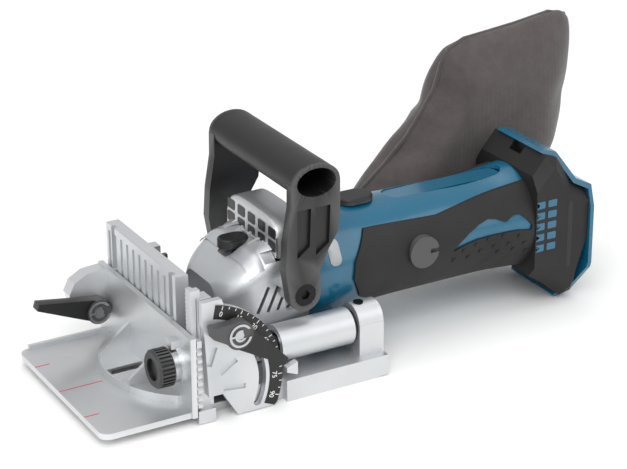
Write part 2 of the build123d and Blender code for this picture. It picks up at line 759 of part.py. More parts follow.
def gear_housing():
    """The cast head: sloping nose, vented collar, side louvres and bosses for the grip."""
    body = housing_form(0) + vent_collar(0)
    body += both_bosses()
    hollow = housing_form(shell) + vent_collar(shell)
    body -= hollow
    boss = rod("z", (spindle_x, 0, 57), 20, 10.4) & housing_form(0)
    body += boss
    body -= rod("z", (spindle_x, 0, 50), 17.2, 8.0)
    body -= rod("z", (spindle_x, 0, 66), 3.4, 4.2)
    body -= rod("z", (spindle_x, 0, 66), 6, lock_pin + running)
    body -= rod("z", (spindle_x, 0, 40), 12, 19.8)
    body += tube("x", (80.0, 0, motor_z), collar_rear - 80.0, 33.5, 11.0) & vent_collar(0)
    body -= block(79, 90, -24, -14, 40, 70) + block(79, 90, 14, 24, 40, 70)
    body -= shaft_lock_room()
    body -= vents()
    for k in range(4):
        for side in (-1, 1):
            cut = Pos(57 + 6.2 * k, side * 34, 52) * Rot(0, 24, 0) * Box(2.0, 12, 17)
            body -= cut
    for side in (-1, 1):
        body -= rod("y", (grip_pivot_x, side * 38 - 12, grip_pivot_z), 24, grip_bolt_radius)
    body -= block(nose_front, collar_rear + 1, -24, 24, 0, housing_floor + shell + 0.5)
    for x, y in joint_screw_places():
        lug = rod("z", (x, y, housing_floor), 9.0, 5.0) - rod("z", (spindle_x, 0, 0), 60, 19.3)
        body += lug
        body -= rod("z", (x, y, 20), 8.2, 2.0)
    return body


grip_bolt_radius = 4.0


def both_bosses():
    """The round bosses that the grip's legs are bolted to."""
    near = rod("y", (grip_pivot_x, -grip_inner + slide_gap, grip_pivot_z), 20, boss_radius)
    far = rod("y", (grip_pivot_x, grip_inner - slide_gap - 20, grip_pivot_z), 20, boss_radius)
    return near + far


def shaft_lock_room():
    """The oval well that the shaft lock button sits in."""
    room = rod("z", (lock_x - 3, 0, 70.5), 20, 6.6) + rod("z", (lock_x + 3, 0, 70.5), 20, 6.6)
    return room + block(lock_x - 3, lock_x + 3, -6.6, 6.6, 70.5, 90)


lock_x = 55.0
lock_pin = 2.3
lock_travel = 4.0


def shaft_lock_button():
    """The oval button, whose pin drops into the spindle's end."""
    cap = rod("z", (lock_x - 3, 0, 75.0), 5.4, 6.3) + rod("z", (lock_x + 3, 0, 75.0), 5.4, 6.3)
    cap += block(lock_x - 3, lock_x + 3, -6.3, 6.3, 75.0, 80.4)
    cap = fillet(cap.edges().group_by(Axis.Z)[-1], 1.2)
    return cap + rod("z", (spindle_x, 0, 68.4), 7, lock_pin)


def vents():
    """Two rows of square air outlets in the collar's sloping front."""
    cuts = []
    for row, radius in ((0, 27.5), (1, 34.5)):
        for angle in (-52, -31, -10.5, 10.5, 31, 52):
            hole = Rot(angle, 0, 0) * Pos(collar_front, 0, radius) * Box(16, 7.6, 5.0)
            cuts.append(Pos(0, 0, motor_z) * hole)
    result = cuts[0]
    for cut in cuts[1:]:
        result += cut
    return result


def bearing_box():
    """The lower casting: spindle bearing seat, arms and the two sleeves."""
    body = block(38.0, collar_rear, -24, 24, 14.2, housing_floor)
    body += block(42.0, collar_rear, -33, 33, 14.2, housing_floor)
    body += rod("z", (spindle_x, 0, 14.2), 13.0, 16.8)
    for side in (-1, 1):
        low, high = sorted((side * 32, side * bar_y))
        body += block(62.0, 84.0, low, high, 19.5, 29.0)
        body += rod("x", (sleeve_front, side * bar_y, bar_z), sleeve_rear - sleeve_front, sleeve_radius)
    for side in (-1, 1):
        centre = (sleeve_front, side * bar_y, bar_z)
        body -= rod("x", centre, sleeve_rear - sleeve_front - sleeve_bush, spring_pocket)
        body -= rod("x", centre, sleeve_rear, bar_radius + running)
    body += block(80, 88, 38.6, 43.7, 39, turret_z - stop_drop + 3.0)
    body -= rod("z", (spindle_x, 0, 10), 10.2, 11.0)
    body -= rod("z", (spindle_x, 0, 15.2), 9.0, 14.0)
    body -= rod("z", (spindle_x, 0, 20), 10, 10.0)
    for x, y in joint_screw_places():
        body -= rod("z", (x, y, 10), 20, 2.0) + rod("z", (x, y, 10), 7.2, 3.4)
    return body - rod("x", (70, turret_y, turret_z - stop_drop), 30, stop_radius)


def bearing(axis, start, width, outer, inner):
    """A ball bearing as one sealed ring."""
    return tube(axis, start, width, outer, inner)


def ball_bearings():
    """Two bearings on the spindle and two on the armature shaft."""
    lower = bearing("z", (spindle_x, 0, 15.2), 9.0, 14.0, spindle_radius + running)
    upper = bearing("z", (spindle_x, 0, 58.4), 7.0, 8.0, 4.0 + running)
    front = bearing("x", (80.0, 0, motor_z), 6.0, 11.0, shaft_radius + running)
    rear = bearing("x", (armature_end - 9.0, 0, motor_z), 6.0, 9.5, shaft_radius + running)
    return [lower, upper, front, rear]


shaft_radius = 4.0
armature_end = 186.0


def joint_screw_places():
    """Where the screws go up from the bearing box into the gear housing."""
    return [(x, side * y) for x, y in ((47.0, 20.5), (80.0, 26.0)) for side in (-1, 1)]


def gear_housing_screws():
    """Four screws from the bearing box up into the gear housing."""
    return [bolt("z", (x, y, 14.2), 3.4, 3, 2.0, 11.0, 1.6) for x, y in joint_screw_places()]


# ---- Spindle and blade ----
def spindle():
    """The blade shaft, with its gear seat and socketed top."""
    body = rod("z", (spindle_x, 0, 3.6), 46.4, spindle_radius)
    body += rod("z", (spindle_x, 0, 49), 18.0, 4.0)
    return body - rod("z", (spindle_x, 0, 63.5), 5, 2.6)


def bevel_gear():
    """The large bevel gear, its teeth towards the motor axis."""
    return Pos(spindle_x, 0, motor_z) * bevel(bevel_teeth, bevel_pinion_teeth, 0) - spindle_hole(spindle_radius)


def spindle_hole(radius):
    """A cutter along the spindle."""
    return rod("z", (spindle_x, 0, 0), 60, radius)


def bevel(teeth, mate, phase):
    """A straight bevel gear with its cone's tip at the origin and its axis along Z, teeth upwards."""
    radius = bevel_module * teeth / 2
    height = bevel_module * mate / 2
    cone = hypot(radius, height)
    ur, uz = radius / cone, -height / cone
    nr, nz = height / cone, radius / cone
    inner = cone - bevel_face
    deep, tall = 1.1 * bevel_module, 0.75 * bevel_module

    def spot(along, off):
        scale = along / cone
        return along * ur + off * scale * nr, along * uz + off * scale * nz

    a, b = spot(cone, -deep), spot(inner, -deep)
    bottom = a[1] - 4.0
    profile = [(0.5, b[1]), b, a, (a[0] - 1.0, bottom), (0.5, bottom)]
    face = make_face(Polyline(*[(r, 0, z) for r, z in profile], close=True))
    body = revolve(face, Axis.Z)
    for k in range(teeth):
        body += Rot(0, 0, phase + 360 * k / teeth) * bevel_tooth(teeth, spot, cone, inner, deep, tall)
    return body


def bevel_tooth(teeth, spot, cone, inner, deep, tall):
    """One tapered tooth across the gear's face."""
    faces = []
    for along in (inner, cone):
        scale = along / cone
        root, tip = spot(along, -deep - 0.3), spot(along, tall)
        wide, narrow = 1.0 * scale, 0.26 * scale
        corners = [(root[0], -wide, root[1]), (root[0], wide, root[1])]
        corners += [(tip[0], narrow, tip[1]), (tip[0], -narrow, tip[1])]
        faces.append(make_face(Polyline(*corners, close=True)))
    return loft(faces)


def blade_flange():
    """The flange above the blade."""
    top = 14.6
    low = blade_height + blade_body / 2
    return tube("z", (spindle_x, 0, low), top - low, 11.0 - 0.6, spindle_radius) + tube("z", (spindle_x, 0, low), 2.6, 15.0, spindle_radius)


def joiner_blade():
    """A thin disc with wide carbide teeth."""
    low = blade_height - blade_body / 2
    body = rod("z", (spindle_x, 0, low), blade_body, blade_radius - 4)
    for k in range(tooth_count):
        body += Pos(spindle_x, 0, 0) * Rot(0, 0, 360 * k / tooth_count + 12) * blade_tooth(low)
    for k in range(4):
        body -= Pos(spindle_x, 0, 0) * Rot(0, 0, 90 * k + 30) * rod("z", (28, 0, 0), 20, 4.0)
    return body - spindle_hole(spindle_radius)


def blade_tooth(low):
    """One shoulder with its tip."""
    shoulder = prism("z", [(40, -2), (49.0, 0), (47.5, 9), (40, 14)], low, low + blade_body)
    half = tooth_width / 2
    tip = prism("z", [(42.5, -2.4), (49.9, -2.4), (49.5, 0.4), (42.5, 0.4)], blade_height - half, blade_height + half)
    return shoulder + tip


def blade_nut():
    """The lock nut under the blade, with two holes for its spanner."""
    low = 3.0
    high = blade_height - blade_body / 2
    body = rod("z", (spindle_x, 0, low), high - low, 13.5) - spindle_hole(spindle_radius)
    for side in (-1, 1):
        body -= rod("z", (spindle_x + side * 10, 0, 0), 6.0, 1.7)
    return body


# ---- Armature ----
def armature_shaft():
    """The motor shaft."""
    return rod("x", (bevel_pinion_front, 0, motor_z), armature_end - bevel_pinion_front, shaft_radius)


bevel_pinion_front = spindle_x + bevel_module * bevel_teeth / 2 - bevel_face - 1.0
core_front = 100.0
core_length = 46.0


def bevel_pinion():
    """The small bevel gear on the motor shaft."""
    gear = bevel(bevel_pinion_teeth, bevel_teeth, 0)
    return Pos(spindle_x, 0, motor_z) * Rot(0, -90, 0) * gear - shaft_hole()


def shaft_hole():
    """A cutter along the motor shaft."""
    return rod("x", (0, 0, motor_z), 300, shaft_radius)


def armature_core():
    """The laminated core, slotted for its windings."""
    body = rod("x", (core_front, 0, motor_z), core_length, 17.0)
    for k in range(12):
        slot = block(core_front - 1, core_front + core_length + 1, -1.2, 1.2, 12.5, 18)
        body -= Pos(0, 0, motor_z) * Rot(30 * k, 0, 0) * slot
    return body - shaft_hole()


def commutator():
    """The copper drum that the brushes run on."""
    return tube("x", (158.0, 0, motor_z), 15.0, 10.0, shaft_radius)


def cooling_fan():
    """A disc with radial blades in front of the core."""
    body = rod("x", (90.0, 0, motor_z), 1.6, 25.0)
    body += rod("x", (90.0, 0, motor_z), 8.0, 8.0)
    for k in range(11):
        vane = block(90.0, 97.0, -0.7, 0.7, 7.0, 24.6)
        body += Pos(0, 0, motor_z) * Rot(360 / 11 * k, 0, 0) * vane
    return body - shaft_hole()


# ---- Motor housing ----
def body_form(extra):
    """The motor housing's outer form, grown or shrunk all round."""
    stations = [(body_front, 33.0, 33.0, 0), (118.0, 33.0, 33.0, 0), (136.0, 31.0, 31.5, 0.4)]
    stations += [(190.0, 29.5, 30.5, 0.6), (mount_front - 20, 30.0, 31.0, 0.6)]
    stations += [(mount_front, 31.5, 33.0, 1.0), (body_rear, 31.5, 33.0, 1.0)]
    ovals = [oval(x, a + extra, b + extra, motor_z + lift) for x, a, b, lift in stations]
    return loft(ovals)


def motor_shell():
    """Both halves of the motor housing as one hollow form."""
    form = body_form(0) - body_form(-body_wall)
    form += front_wall()
    form += (rod("x", (149.0, 0, motor_z), 2.4, 60) & body_form(-body_wall / 2)) - rod("x", (148, 0, motor_z), 6, 20.0)
    form += (rod("x", (206.0, 0, motor_z), 3.0, 60) & body_form(-body_wall / 2)) - switch_module()
    form += rod("x", (body_rear - body_wall, 0, motor_z), body_wall, 60) & body_form(-body_wall / 2)
    form += (rod("x", (armature_end - 10, 0, motor_z), 8.0, 40) & body_form(-body_wall / 2)) - bearing_seat()
    form -= block(130.0, switch_rear + 1, -3.6, 3.6, link_low - 0.4, link_high + 0.6)
    form -= switch_room()
    form -= top_recess()
    for x, z in half_screw_places:
        boss = rod("y", (x, -22, z), 44, 5.0) & body_form(-body_wall / 2)
        form += boss
        form -= half_screw_hole(x, z)
    for side in (-1, 1):
        low = side * 30 - 8
        form -= rod("y", (brush_x, low, motor_z + 4), 16, brush_radius)
    return form


def top_recess():
    """The long shallow recess with round ends along the top of the housing."""
    level = motor_z + 30.2
    groove = rod("z", (164.0, 0, level), 10, 7.5) + rod("z", (232.0, 0, level), 10, 7.5)
    return groove + block(164.0, 232.0, -7.5, 7.5, level, level + 10)


def front_wall():
    """The flange that meets the gear housing."""
    wall = tube("x", (body_front - 1.0, 0, motor_z), 5.0, motor_radius - 1, 27.0)
    return wall


def bearing_seat():
    """The pocket for the rear armature bearing."""
    seat = rod("x", (armature_end - 9.0, 0, motor_z), 6.0, 9.5)
    return seat + rod("x", (armature_end - 12, 0, motor_z), 16, 6.0)


def switch_room():
    """The slot under the slide switch."""
    room = block(switch_x - 5 - switch_travel, switch_x + 5, -4.2, 4.2, link_low - 1, 92)
    reach = switch_length / 2 + slide_gap
    return room + block(switch_x - reach - switch_travel, switch_x + reach, -9.5, 9.5, motor_z + 32, 100)


def motor_half(side):
    """One half of the motor housing, split down the middle."""
    low, high = (-60, 0) if side < 0 else (0, 60)
    return motor_shell() & block(60, 300, low, high, 0, 120)


def panel_outline():
    """The rubber panel's outline from the side."""
    left = 116.5
    points = [(129.0, 77.5), (180.0, 75.5), (mount_front - 0.1, 83.0), (mount_front - 0.1, 28.0)]
    points += [(220.0, 29.0), (170.0, 30.0), (136.0, 30.5), (123.0, 38.0), (left, 52.0), (left + 1.5, 62.0)]
    return points


def grip_panel(side):
    """The soft panel over one side of the housing, with its window and the brush cover's hole."""
    low, high = (-60, -14) if side < 0 else (14, 60)
    skin = body_form(panel_skin) - body_form(0)
    panel = skin & prism("y", panel_outline(), low, high)
    fin = [(187.0, 52.5), (193.0, 57.4), (200.0, 62.0), (207.0, 65.4), (214.0, 67.5), (220.0, 66.5), (226.0, 63.6)]
    fin += [(231.0, 66.5), (236.0, 67.0), (240.5, 63.2), (244.0, 58.5), (243.0, 55.8), (235.0, 57.0), (226.0, 57.2)]
    fin += [(215.0, 57.1), (205.0, 56.6), (196.0, 54.9)]
    panel -= prism("y", fin, low, high)
    if side > 0:
        for x, z in half_screw_places:
            panel -= half_screw_hole(x, z)
    return panel - rod("y", (brush_x, low, motor_z + 4), high - low, brush_radius + 0.01)


def brush_cover(side):
    """The round cover over one carbon brush."""
    start = -33.4 if side < 0 else 33.4 - 5
    body = rod("y", (brush_x, start, motor_z + 4), 5.0, brush_radius - 0.05)
    slot = block(brush_x + 4, brush_x + 11, *sorted((side * 31.8, side * 40)), motor_z + 2.6, motor_z + 5.4)
    return body - slot


def carbon_brush(side):
    """One brush in line with the commutator."""
    low, high = sorted((side * 10.1, side * 28.4))
    return block(brush_x - 4, brush_x + 4, low, high, motor_z - 2.5, motor_z + 2.5)


def motor_yoke():
    """The steel ring round the magnets."""
    return tube("x", (core_front - 3, 0, motor_z), core_length + 6, 25.0, 21.5)


def field_magnets():
    """Two curved magnets inside the yoke."""
    ring = tube("x", (core_front, 0, motor_z), core_length, 21.5, 17.6)
    near = ring & prism("x", [(0, motor_z), (-40, motor_z - 32), (-40, motor_z + 32)], 0, 300)
    far = ring & prism("x", [(0, motor_z), (40, motor_z - 32), (40, motor_z + 32)], 0, 300)
    return [near, far]


switch_rear = 197.0
link_low = 79.8
link_high = 81.6


def switch_slide():
    """The oval thumb switch on top of the housing."""
    top = motor_z + 32.4
    length = switch_length / 2 - switch_width / 2
    cap = rod("z", (switch_x - length, 0, top), 3.6, switch_width / 2)
    cap += rod("z", (switch_x + length, 0, top), 3.6, switch_width / 2)
    cap += block(switch_x - length, switch_x + length, -switch_width / 2, switch_width / 2, top, top + 3.6)
    cap = fillet(cap.edges().group_by(Axis.Z)[-1], 1.6)
    stem = block(switch_x - 4, switch_x + 4, -3.6, 3.6, link_low, top + 0.5)
    return cap + stem + block(switch_x - 4, switch_rear, -3.2, 3.2, link_low, link_high)


def switch_module():
    """The switch inside the rear of the housing."""
    return block(switch_rear + slide_gap, switch_rear + 27, -8.0, 8.0, 60.0, 79.0)


half_screw_places = ((158.0, 36.0), (158.0, 72.0), (193.0, 42.0), (233.0, 42.0), (233.0, 70.0))


def half_screw_hole(x, z):
    """The stepped hole for one screw that joins the housing halves."""
    return rod("y", (x, -12.8, z), 30.0, 1.6) + rod("y", (x, 17.2, z), 60, 3.0)


def housing_screws():
    """Screws that join the housing halves, from the far side."""
    return [bolt("y", (x, 20.0, z), 3.0, 2.8, 1.6, 30.0, 1.3, sense=-1) for x, z in half_screw_places]


# ---- Battery mount ----
def mount_outline():
    """The battery mount from the side, without its rim."""
    outline = [(0, 88.5), (10.0, 100.0), (17.5, 97.5), (29.0, 79.5), (39.4, 74.0), (39.4, 26.0),
               (32.5, 5.5), (24.0, 3.6), (14.0, 13.0), (0, 22.0)]
    return [(mount_front + x, z) for x, z in outline]


def battery_mount():
    """The dark block that carries the battery, hollow, with its socket open to the rear."""
    body = prism("y", mount_outline(), -mount_half, mount_half)
    flanks = [e for e in body.edges() if abs(abs(e.center().Y) - mount_half) < 0.01]
    body = chamfer([e for e in flanks if mount_front + 3 < e.center().X < mount_front + 36], 6.0)
    body -= body_form(0.02)
    body -= block(mount_front + 12, mount_front + 36.4, -mount_half + 4, mount_half - 4, 24.0, 72.0)
    body -= block(mount_front + 30, mount_front + 54, -socket_half, socket_half, 13.0, 70.0)
    body -= block(body_rear - 1, mount_front + 16, -26.0, 26.0, 34.0, 80.0)
    return body - block(mount_front + 5.5, mount_front + 11.5, -6.0, 6.0, 92.0, 120.0)


def battery_rim():
    """The blue band round the mount's rear edge."""
    inner = mount_outline()[1:8]
    spread = [(8.0, 101.2), (10.5, 102.4), (19.8, 99.6), (31.2, 82.0), (42.0, 76.4), (42.0, 25.0), (35.0, 3.0)]
    spread += [(25.5, 0.1), (22.5, 2.2)]
    band = prism("y", inner + [(mount_front + x, z) for x, z in spread[::-1]], -rim_half, rim_half)
    corner = prism("x", [(-rim_half - 1, 60), (-rim_half - 1, 110), (-20, 110), (-29, 84)], 240, 300)
    corner += prism("x", [(rim_half + 1, 60), (rim_half + 1, 110), (20, 110), (29, 84)], 240, 300)
    foot = prism("x", [(-rim_half - 1, 24), (-rim_half - 1, -1), (-21, -1)], 240, 300)
    foot += prism("x", [(rim_half + 1, 24), (rim_half + 1, -1), (21, -1)], 240, 300)
    band = band - corner - foot - prism("y", inner + [(mount_front + 14, 13)], -40, 40)
    return band - block(mount_front + 30, mount_front + 54, -socket_half, socket_half, 13.0, 70.0)


def terminal_block():
    """The insulating block in the socket."""
    back = mount_front + 30
    return block(back - 14, back, -12.0, 12.0, 30.0, 66.0) + block(back - 18, back, -16.0, 16.0, 34.0, 62.0)


def battery_contacts():
    """The blades that meet the battery."""
    start = mount_front + 30
    return [block(start, start + 8, y - 0.5, y + 0.5, 36.0, 60.0) for y in (-9.0, -3.0, 3.0, 9.0)]


# ---- Front grip ----
def front_grip():
    """The D handle: an oval tube across the top and two legs bolted to the gear housing."""
    plane = Plane(origin=(grip_bar_x, -grip_half, grip_bar_z), x_dir=(1, 0, 0), z_dir=(0, 1, 0))
    bar = extrude(plane * Ellipse(grip_bar_long / 2, grip_bar_tall / 2 + 1), 2 * grip_half)
    body = bar
    for side in (-1, 1):
        body += grip_leg(side)
    hollow = extrude(plane * Ellipse(grip_bar_long / 2 - grip_wall, grip_bar_tall / 2 + 1 - grip_wall), 30)
    far_plane = Plane(origin=(grip_bar_x, grip_half - 30, grip_bar_z), x_dir=(1, 0, 0), z_dir=(0, 1, 0))
    hollow += extrude(far_plane * Ellipse(grip_bar_long / 2 - grip_wall, grip_bar_tall / 2 + 1 - grip_wall), 30)
    body -= hollow
    for side in (-1, 1):
        start = -grip_half - 1 if side < 0 else grip_inner - 1
        body -= rod("y", (grip_pivot_x, start, grip_pivot_z), 9, grip_bolt_radius + running)
        head = -grip_half - 1 if side < 0 else grip_half - 3.4
        body -= rod("y", (grip_pivot_x, head, grip_pivot_z), 4.4, 6.6)
    return body


def grip_leg(side):
    """One leg, from the tube's end down to its bolt."""
    low, high = (-grip_half, -grip_inner) if side < 0 else (grip_inner, grip_half)
    outline = [(66.8, 126.0), (66.6, 112.0), (63.2, 92.0), (62.0, 74.0), (64.6, 58.7), (84.6, 58.7), (84.2, 72.0)]
    outline += [(88.5, 82.0), (96.0, 94.0), (97.2, 104.0), (97.2, 126.0)]
    leg = prism("y", outline, low, high)
    leg += rod("y", (grip_pivot_x, low, grip_pivot_z), high - low, 10.0)
    outer = low if side < 0 else high
    for inset in ((69.5, 78.5), (81.5, 91.0)):
        groove = [(inset[0], 82.0), (inset[0], 111.0), (inset[1], 111.0), (inset[1] - 1, 88.0)]
        leg -= prism("y", groove, min(outer, outer - side * 2.0), max(outer, outer - side * 2.0))
    return leg


def grip_bolt(side):
    """A socket bolt through one leg into the gear housing's boss."""
    start = (grip_pivot_x, side * (grip_half - 0.2), grip_pivot_z)
    return bolt("y", start, 6.4, 3.2, grip_bolt_radius, 14.0, 3.0, sense=-side)


# ---- Depth stop ----
turret_front = 20.4
turret_length = 5.6
turret_radius = 7.2
turret_y = 42.0
turret_z = 52.0
turret_axle_radius = 2.0
stop_drop = 5.0             # the rod below the drum's axis
stop_radius = 2.2
stop_steps = (0.0, 10.5, 8.5, 6.5, 4.5, 2.5)


def turret_bracket():
    """The plate between the far arm and the drum."""
    plate = block(turret_front - 5.0, turret_front - slide_gap, 36.0, front_half_width, 44.0, 60.0)
    return plate - rod("x", (turret_front - 6, turret_y, turret_z), 8, turret_axle_radius)


def depth_turret():
    """The six-position drum on the far side; each step stops the plunge at its own depth."""
    body = rod("x", (0, 0, 0), turret_length, turret_radius)
    for k, step in enumerate(stop_steps):
        if step > 0:
            peg = Pos(turret_length - 1 + step / 2, 0, -stop_drop) * Box(step + 2, 2.8, 2.8)
            body += Rot(60 * k, 0, 0) * peg
    for k in range(18):
        groove = Pos(turret_length / 2, 0, turret_radius) * Box(turret_length - 2, 0.9, 0.9)
        body -= Rot(20 * k + 10, 0, 0) * groove
    body -= rod("x", (-1, 0, 0), 40, turret_axle_radius + running)
    return Pos(turret_front, turret_y, turret_z) * body


def turret_axle():
    """The screw that the drum turns on, in the bracket."""
    front = turret_front - 5.0
    end = turret_front + turret_length + slide_gap
    return rod("x", (front, turret_y, turret_z), end - front, turret_axle_radius) + rod("x", (end, turret_y, turret_z), 1.4, 2.6)


def depth_stop_rod():
    """The rod on the motor unit that meets the drum."""
    tip = turret_front + turret_length + slide_gap + plunge_stroke
    return rod("x", (tip, turret_y, turret_z - stop_drop), 92.0 - tip, stop_radius)


def main():
    """Build and write every sub-part."""
    os.makedirs("parts", exist_ok=True)
    near_x, near_z = on_arc(lock_slot_radius, lock_stud_angle)
    lever_face = -quadrant_inner - quadrant_thick - slide_gap - 6.4
    save("base_casting", base_casting())
    save("guide_bars", *guide_bars())
    save("return_springs", *both_sides(return_spring))
    save("rear_bumpers", *both_sides(rear_bumper))
    save("post_screws", *both_sides(post_screw))
    save("dust_nozzle", dust_nozzle())
    save("base_studs", *lock_studs(), turret_axle())
    save("angle_pointer", angle_pointer())
    save("blade_cover", blade_cover())
    save("cover_screws", *both_sides(cover_screw))
    save("cover_hinge_pin", cover_pin())
    save("fence_casting", fence_casting())
    save("angle_quadrant", angle_quadrant())
    save("far_quadrant", far_quadrant())
    save("angle_scale", angle_scale())
    save("height_rack", height_rack())
    save("angle_guide", angle_guide())
    save("knob_collar", knob_collar())
    save("guide_clamp_stud", guide_clamp_stud())
    save("height_knob", height_knob())
    save("height_pinion", height_pinion())
    save("guide_lock_lever", guide_lock_lever())
    save("guide_lever_ring", lever_ring(clamp_x, clamp_z, lug_inner - slide_gap - 8.4 - 0.8, clamp_stud + running))
    save("angle_lock_lever", angle_lock_lever())
    save("angle_lever_ring", lever_ring(near_x, near_z, lever_face - 0.8, stud_radius + running))
    save("gear_housing", gear_housing())
    save("bearing_box", bearing_box())
    save("ball_bearings", *ball_bearings())
    save("gear_housing_screws", *gear_housing_screws())
    save("spindle", spindle())
    save("bevel_gear", bevel_gear())
    save("blade_flange", blade_flange())
    save("joiner_blade", joiner_blade())
    save("blade_nut", blade_nut())
    save("armature_shaft", armature_shaft())
    save("armature_core", armature_core())
    save("commutator", commutator())
    save("cooling_fan", cooling_fan())
    save("bevel_pinion", bevel_pinion())
    save("shaft_lock_button", shaft_lock_button())
    save("motor_housing_near", motor_half(-1))
    save("motor_housing_far", motor_half(1))
    save("grip_panel_near", grip_panel(-1))
    save("grip_panel_far", grip_panel(1))
    save("brush_covers", *both_sides(brush_cover))
    save("carbon_brushes", *both_sides(carbon_brush))
    save("motor_yoke", motor_yoke())
    save("field_magnets", *field_magnets())
    save("switch_module", switch_module())
    save("housing_screws", *housing_screws())
    save("switch_slide", switch_slide())
    save("battery_mount", battery_mount())
    save("battery_rim", battery_rim())
    save("terminal_block", terminal_block())
    save("battery_contacts", *battery_contacts())
    save("front_grip", front_grip())
    save("grip_bolts", *both_sides(grip_bolt))
    save("depth_turret", depth_turret())
    save("depth_stop_rod", depth_stop_rod())
    save("dust_bag", dust_bag())


main()
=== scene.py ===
"""The looks of a cordless biscuit joiner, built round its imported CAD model.

Each sub-assembly is a class that holds its sizes in millimetres, builds its own meshes in the CAD
frame and dresses its CAD nodes. The finishes are frozen dataclasses, named for what each one is.
"""

from __future__ import annotations

import json
import logging
import math
from dataclasses import dataclass, field
from enum import Enum
from typing import Any

import bmesh
import bpy
from mathutils import Matrix, Vector
from mathutils.bvhtree import BVHTree

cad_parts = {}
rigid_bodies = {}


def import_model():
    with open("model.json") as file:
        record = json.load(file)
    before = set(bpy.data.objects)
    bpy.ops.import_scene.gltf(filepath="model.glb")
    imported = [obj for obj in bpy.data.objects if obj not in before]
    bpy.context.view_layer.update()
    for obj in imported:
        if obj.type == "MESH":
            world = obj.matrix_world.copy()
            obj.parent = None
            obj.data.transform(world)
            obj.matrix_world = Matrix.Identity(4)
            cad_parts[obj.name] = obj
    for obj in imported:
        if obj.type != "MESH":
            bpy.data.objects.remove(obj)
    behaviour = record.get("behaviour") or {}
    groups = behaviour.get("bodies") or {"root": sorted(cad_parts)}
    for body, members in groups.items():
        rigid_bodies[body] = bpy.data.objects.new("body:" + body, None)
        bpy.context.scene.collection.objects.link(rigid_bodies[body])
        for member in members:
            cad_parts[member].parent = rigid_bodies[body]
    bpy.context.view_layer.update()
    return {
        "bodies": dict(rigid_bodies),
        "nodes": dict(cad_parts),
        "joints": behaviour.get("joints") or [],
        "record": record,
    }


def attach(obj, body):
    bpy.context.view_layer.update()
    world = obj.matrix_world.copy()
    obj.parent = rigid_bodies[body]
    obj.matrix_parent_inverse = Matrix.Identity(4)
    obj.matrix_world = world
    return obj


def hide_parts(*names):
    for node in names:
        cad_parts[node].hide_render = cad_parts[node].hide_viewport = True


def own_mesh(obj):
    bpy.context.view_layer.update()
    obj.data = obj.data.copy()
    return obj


LOG = logging.getLogger("joiner")
MM = 0.001
Point = tuple[float, float, float]
Flat = tuple[float, float]


# ---- Colour and node helpers -------------------------------------------------------------------
def linear(code: str, alpha: float = 1.0) -> tuple[float, float, float, float]:
    """Turns an sRGB hex colour to the linear values that Blender works in.

    Args:
        code: six hex digits, with or without a leading #.
        alpha: the fourth value.

    Returns:
        Linear red, green and blue, with alpha.
    """
    digits = code.lstrip("#")
    parts = [int(digits[k : k + 2], 16) / 255 for k in (0, 2, 4)]
    curve = [c / 12.92 if c <= 0.04045 else ((c + 0.055) / 1.055) ** 2.4 for c in parts]
    return curve[0], curve[1], curve[2], alpha


def add_node(
    tree: bpy.types.NodeTree,
    kind: str,
    settings: dict[str, Any] | None = None,
    links: dict[str, bpy.types.NodeSocket] | None = None,
) -> bpy.types.Node:
    """Adds one node with its settings and links.

    Args:
        tree: the material's node tree.
        kind: the node's Blender type name.
        settings: socket names, or attribute names where no socket has that name, with their values.
        links: socket names and the outputs that feed them. A name may end in :N for the Nth input.

    Returns:
        The new node.
    """
    node = tree.nodes.new(kind)
    for name, value in (settings or {}).items():
        if hasattr(node, name):
            setattr(node, name, value)
        else:
            node.inputs[name].default_value = value
    for name, source in (links or {}).items():
        target = node.inputs[int(name[1:])] if name.startswith(":") else node.inputs[name]
        tree.links.new(source, target)
    return node


def per_metre(size_mm: float) -> float:
    """The texture scale that gives features of a size, where coordinates are in metres."""
    return 1.0 / (size_mm * MM)


# ---- Finishes ----------------------------------------------------------------------------------
class Grain(Enum):
    """How the surface of a finish was left."""

    CAST = "bead-blasted casting"
    TURNED = "turned or ground"
    SPARKED = "moulded against a spark-eroded tool"
    POLISHED = "moulded against a polished tool"
    PRINTED = "flat print"


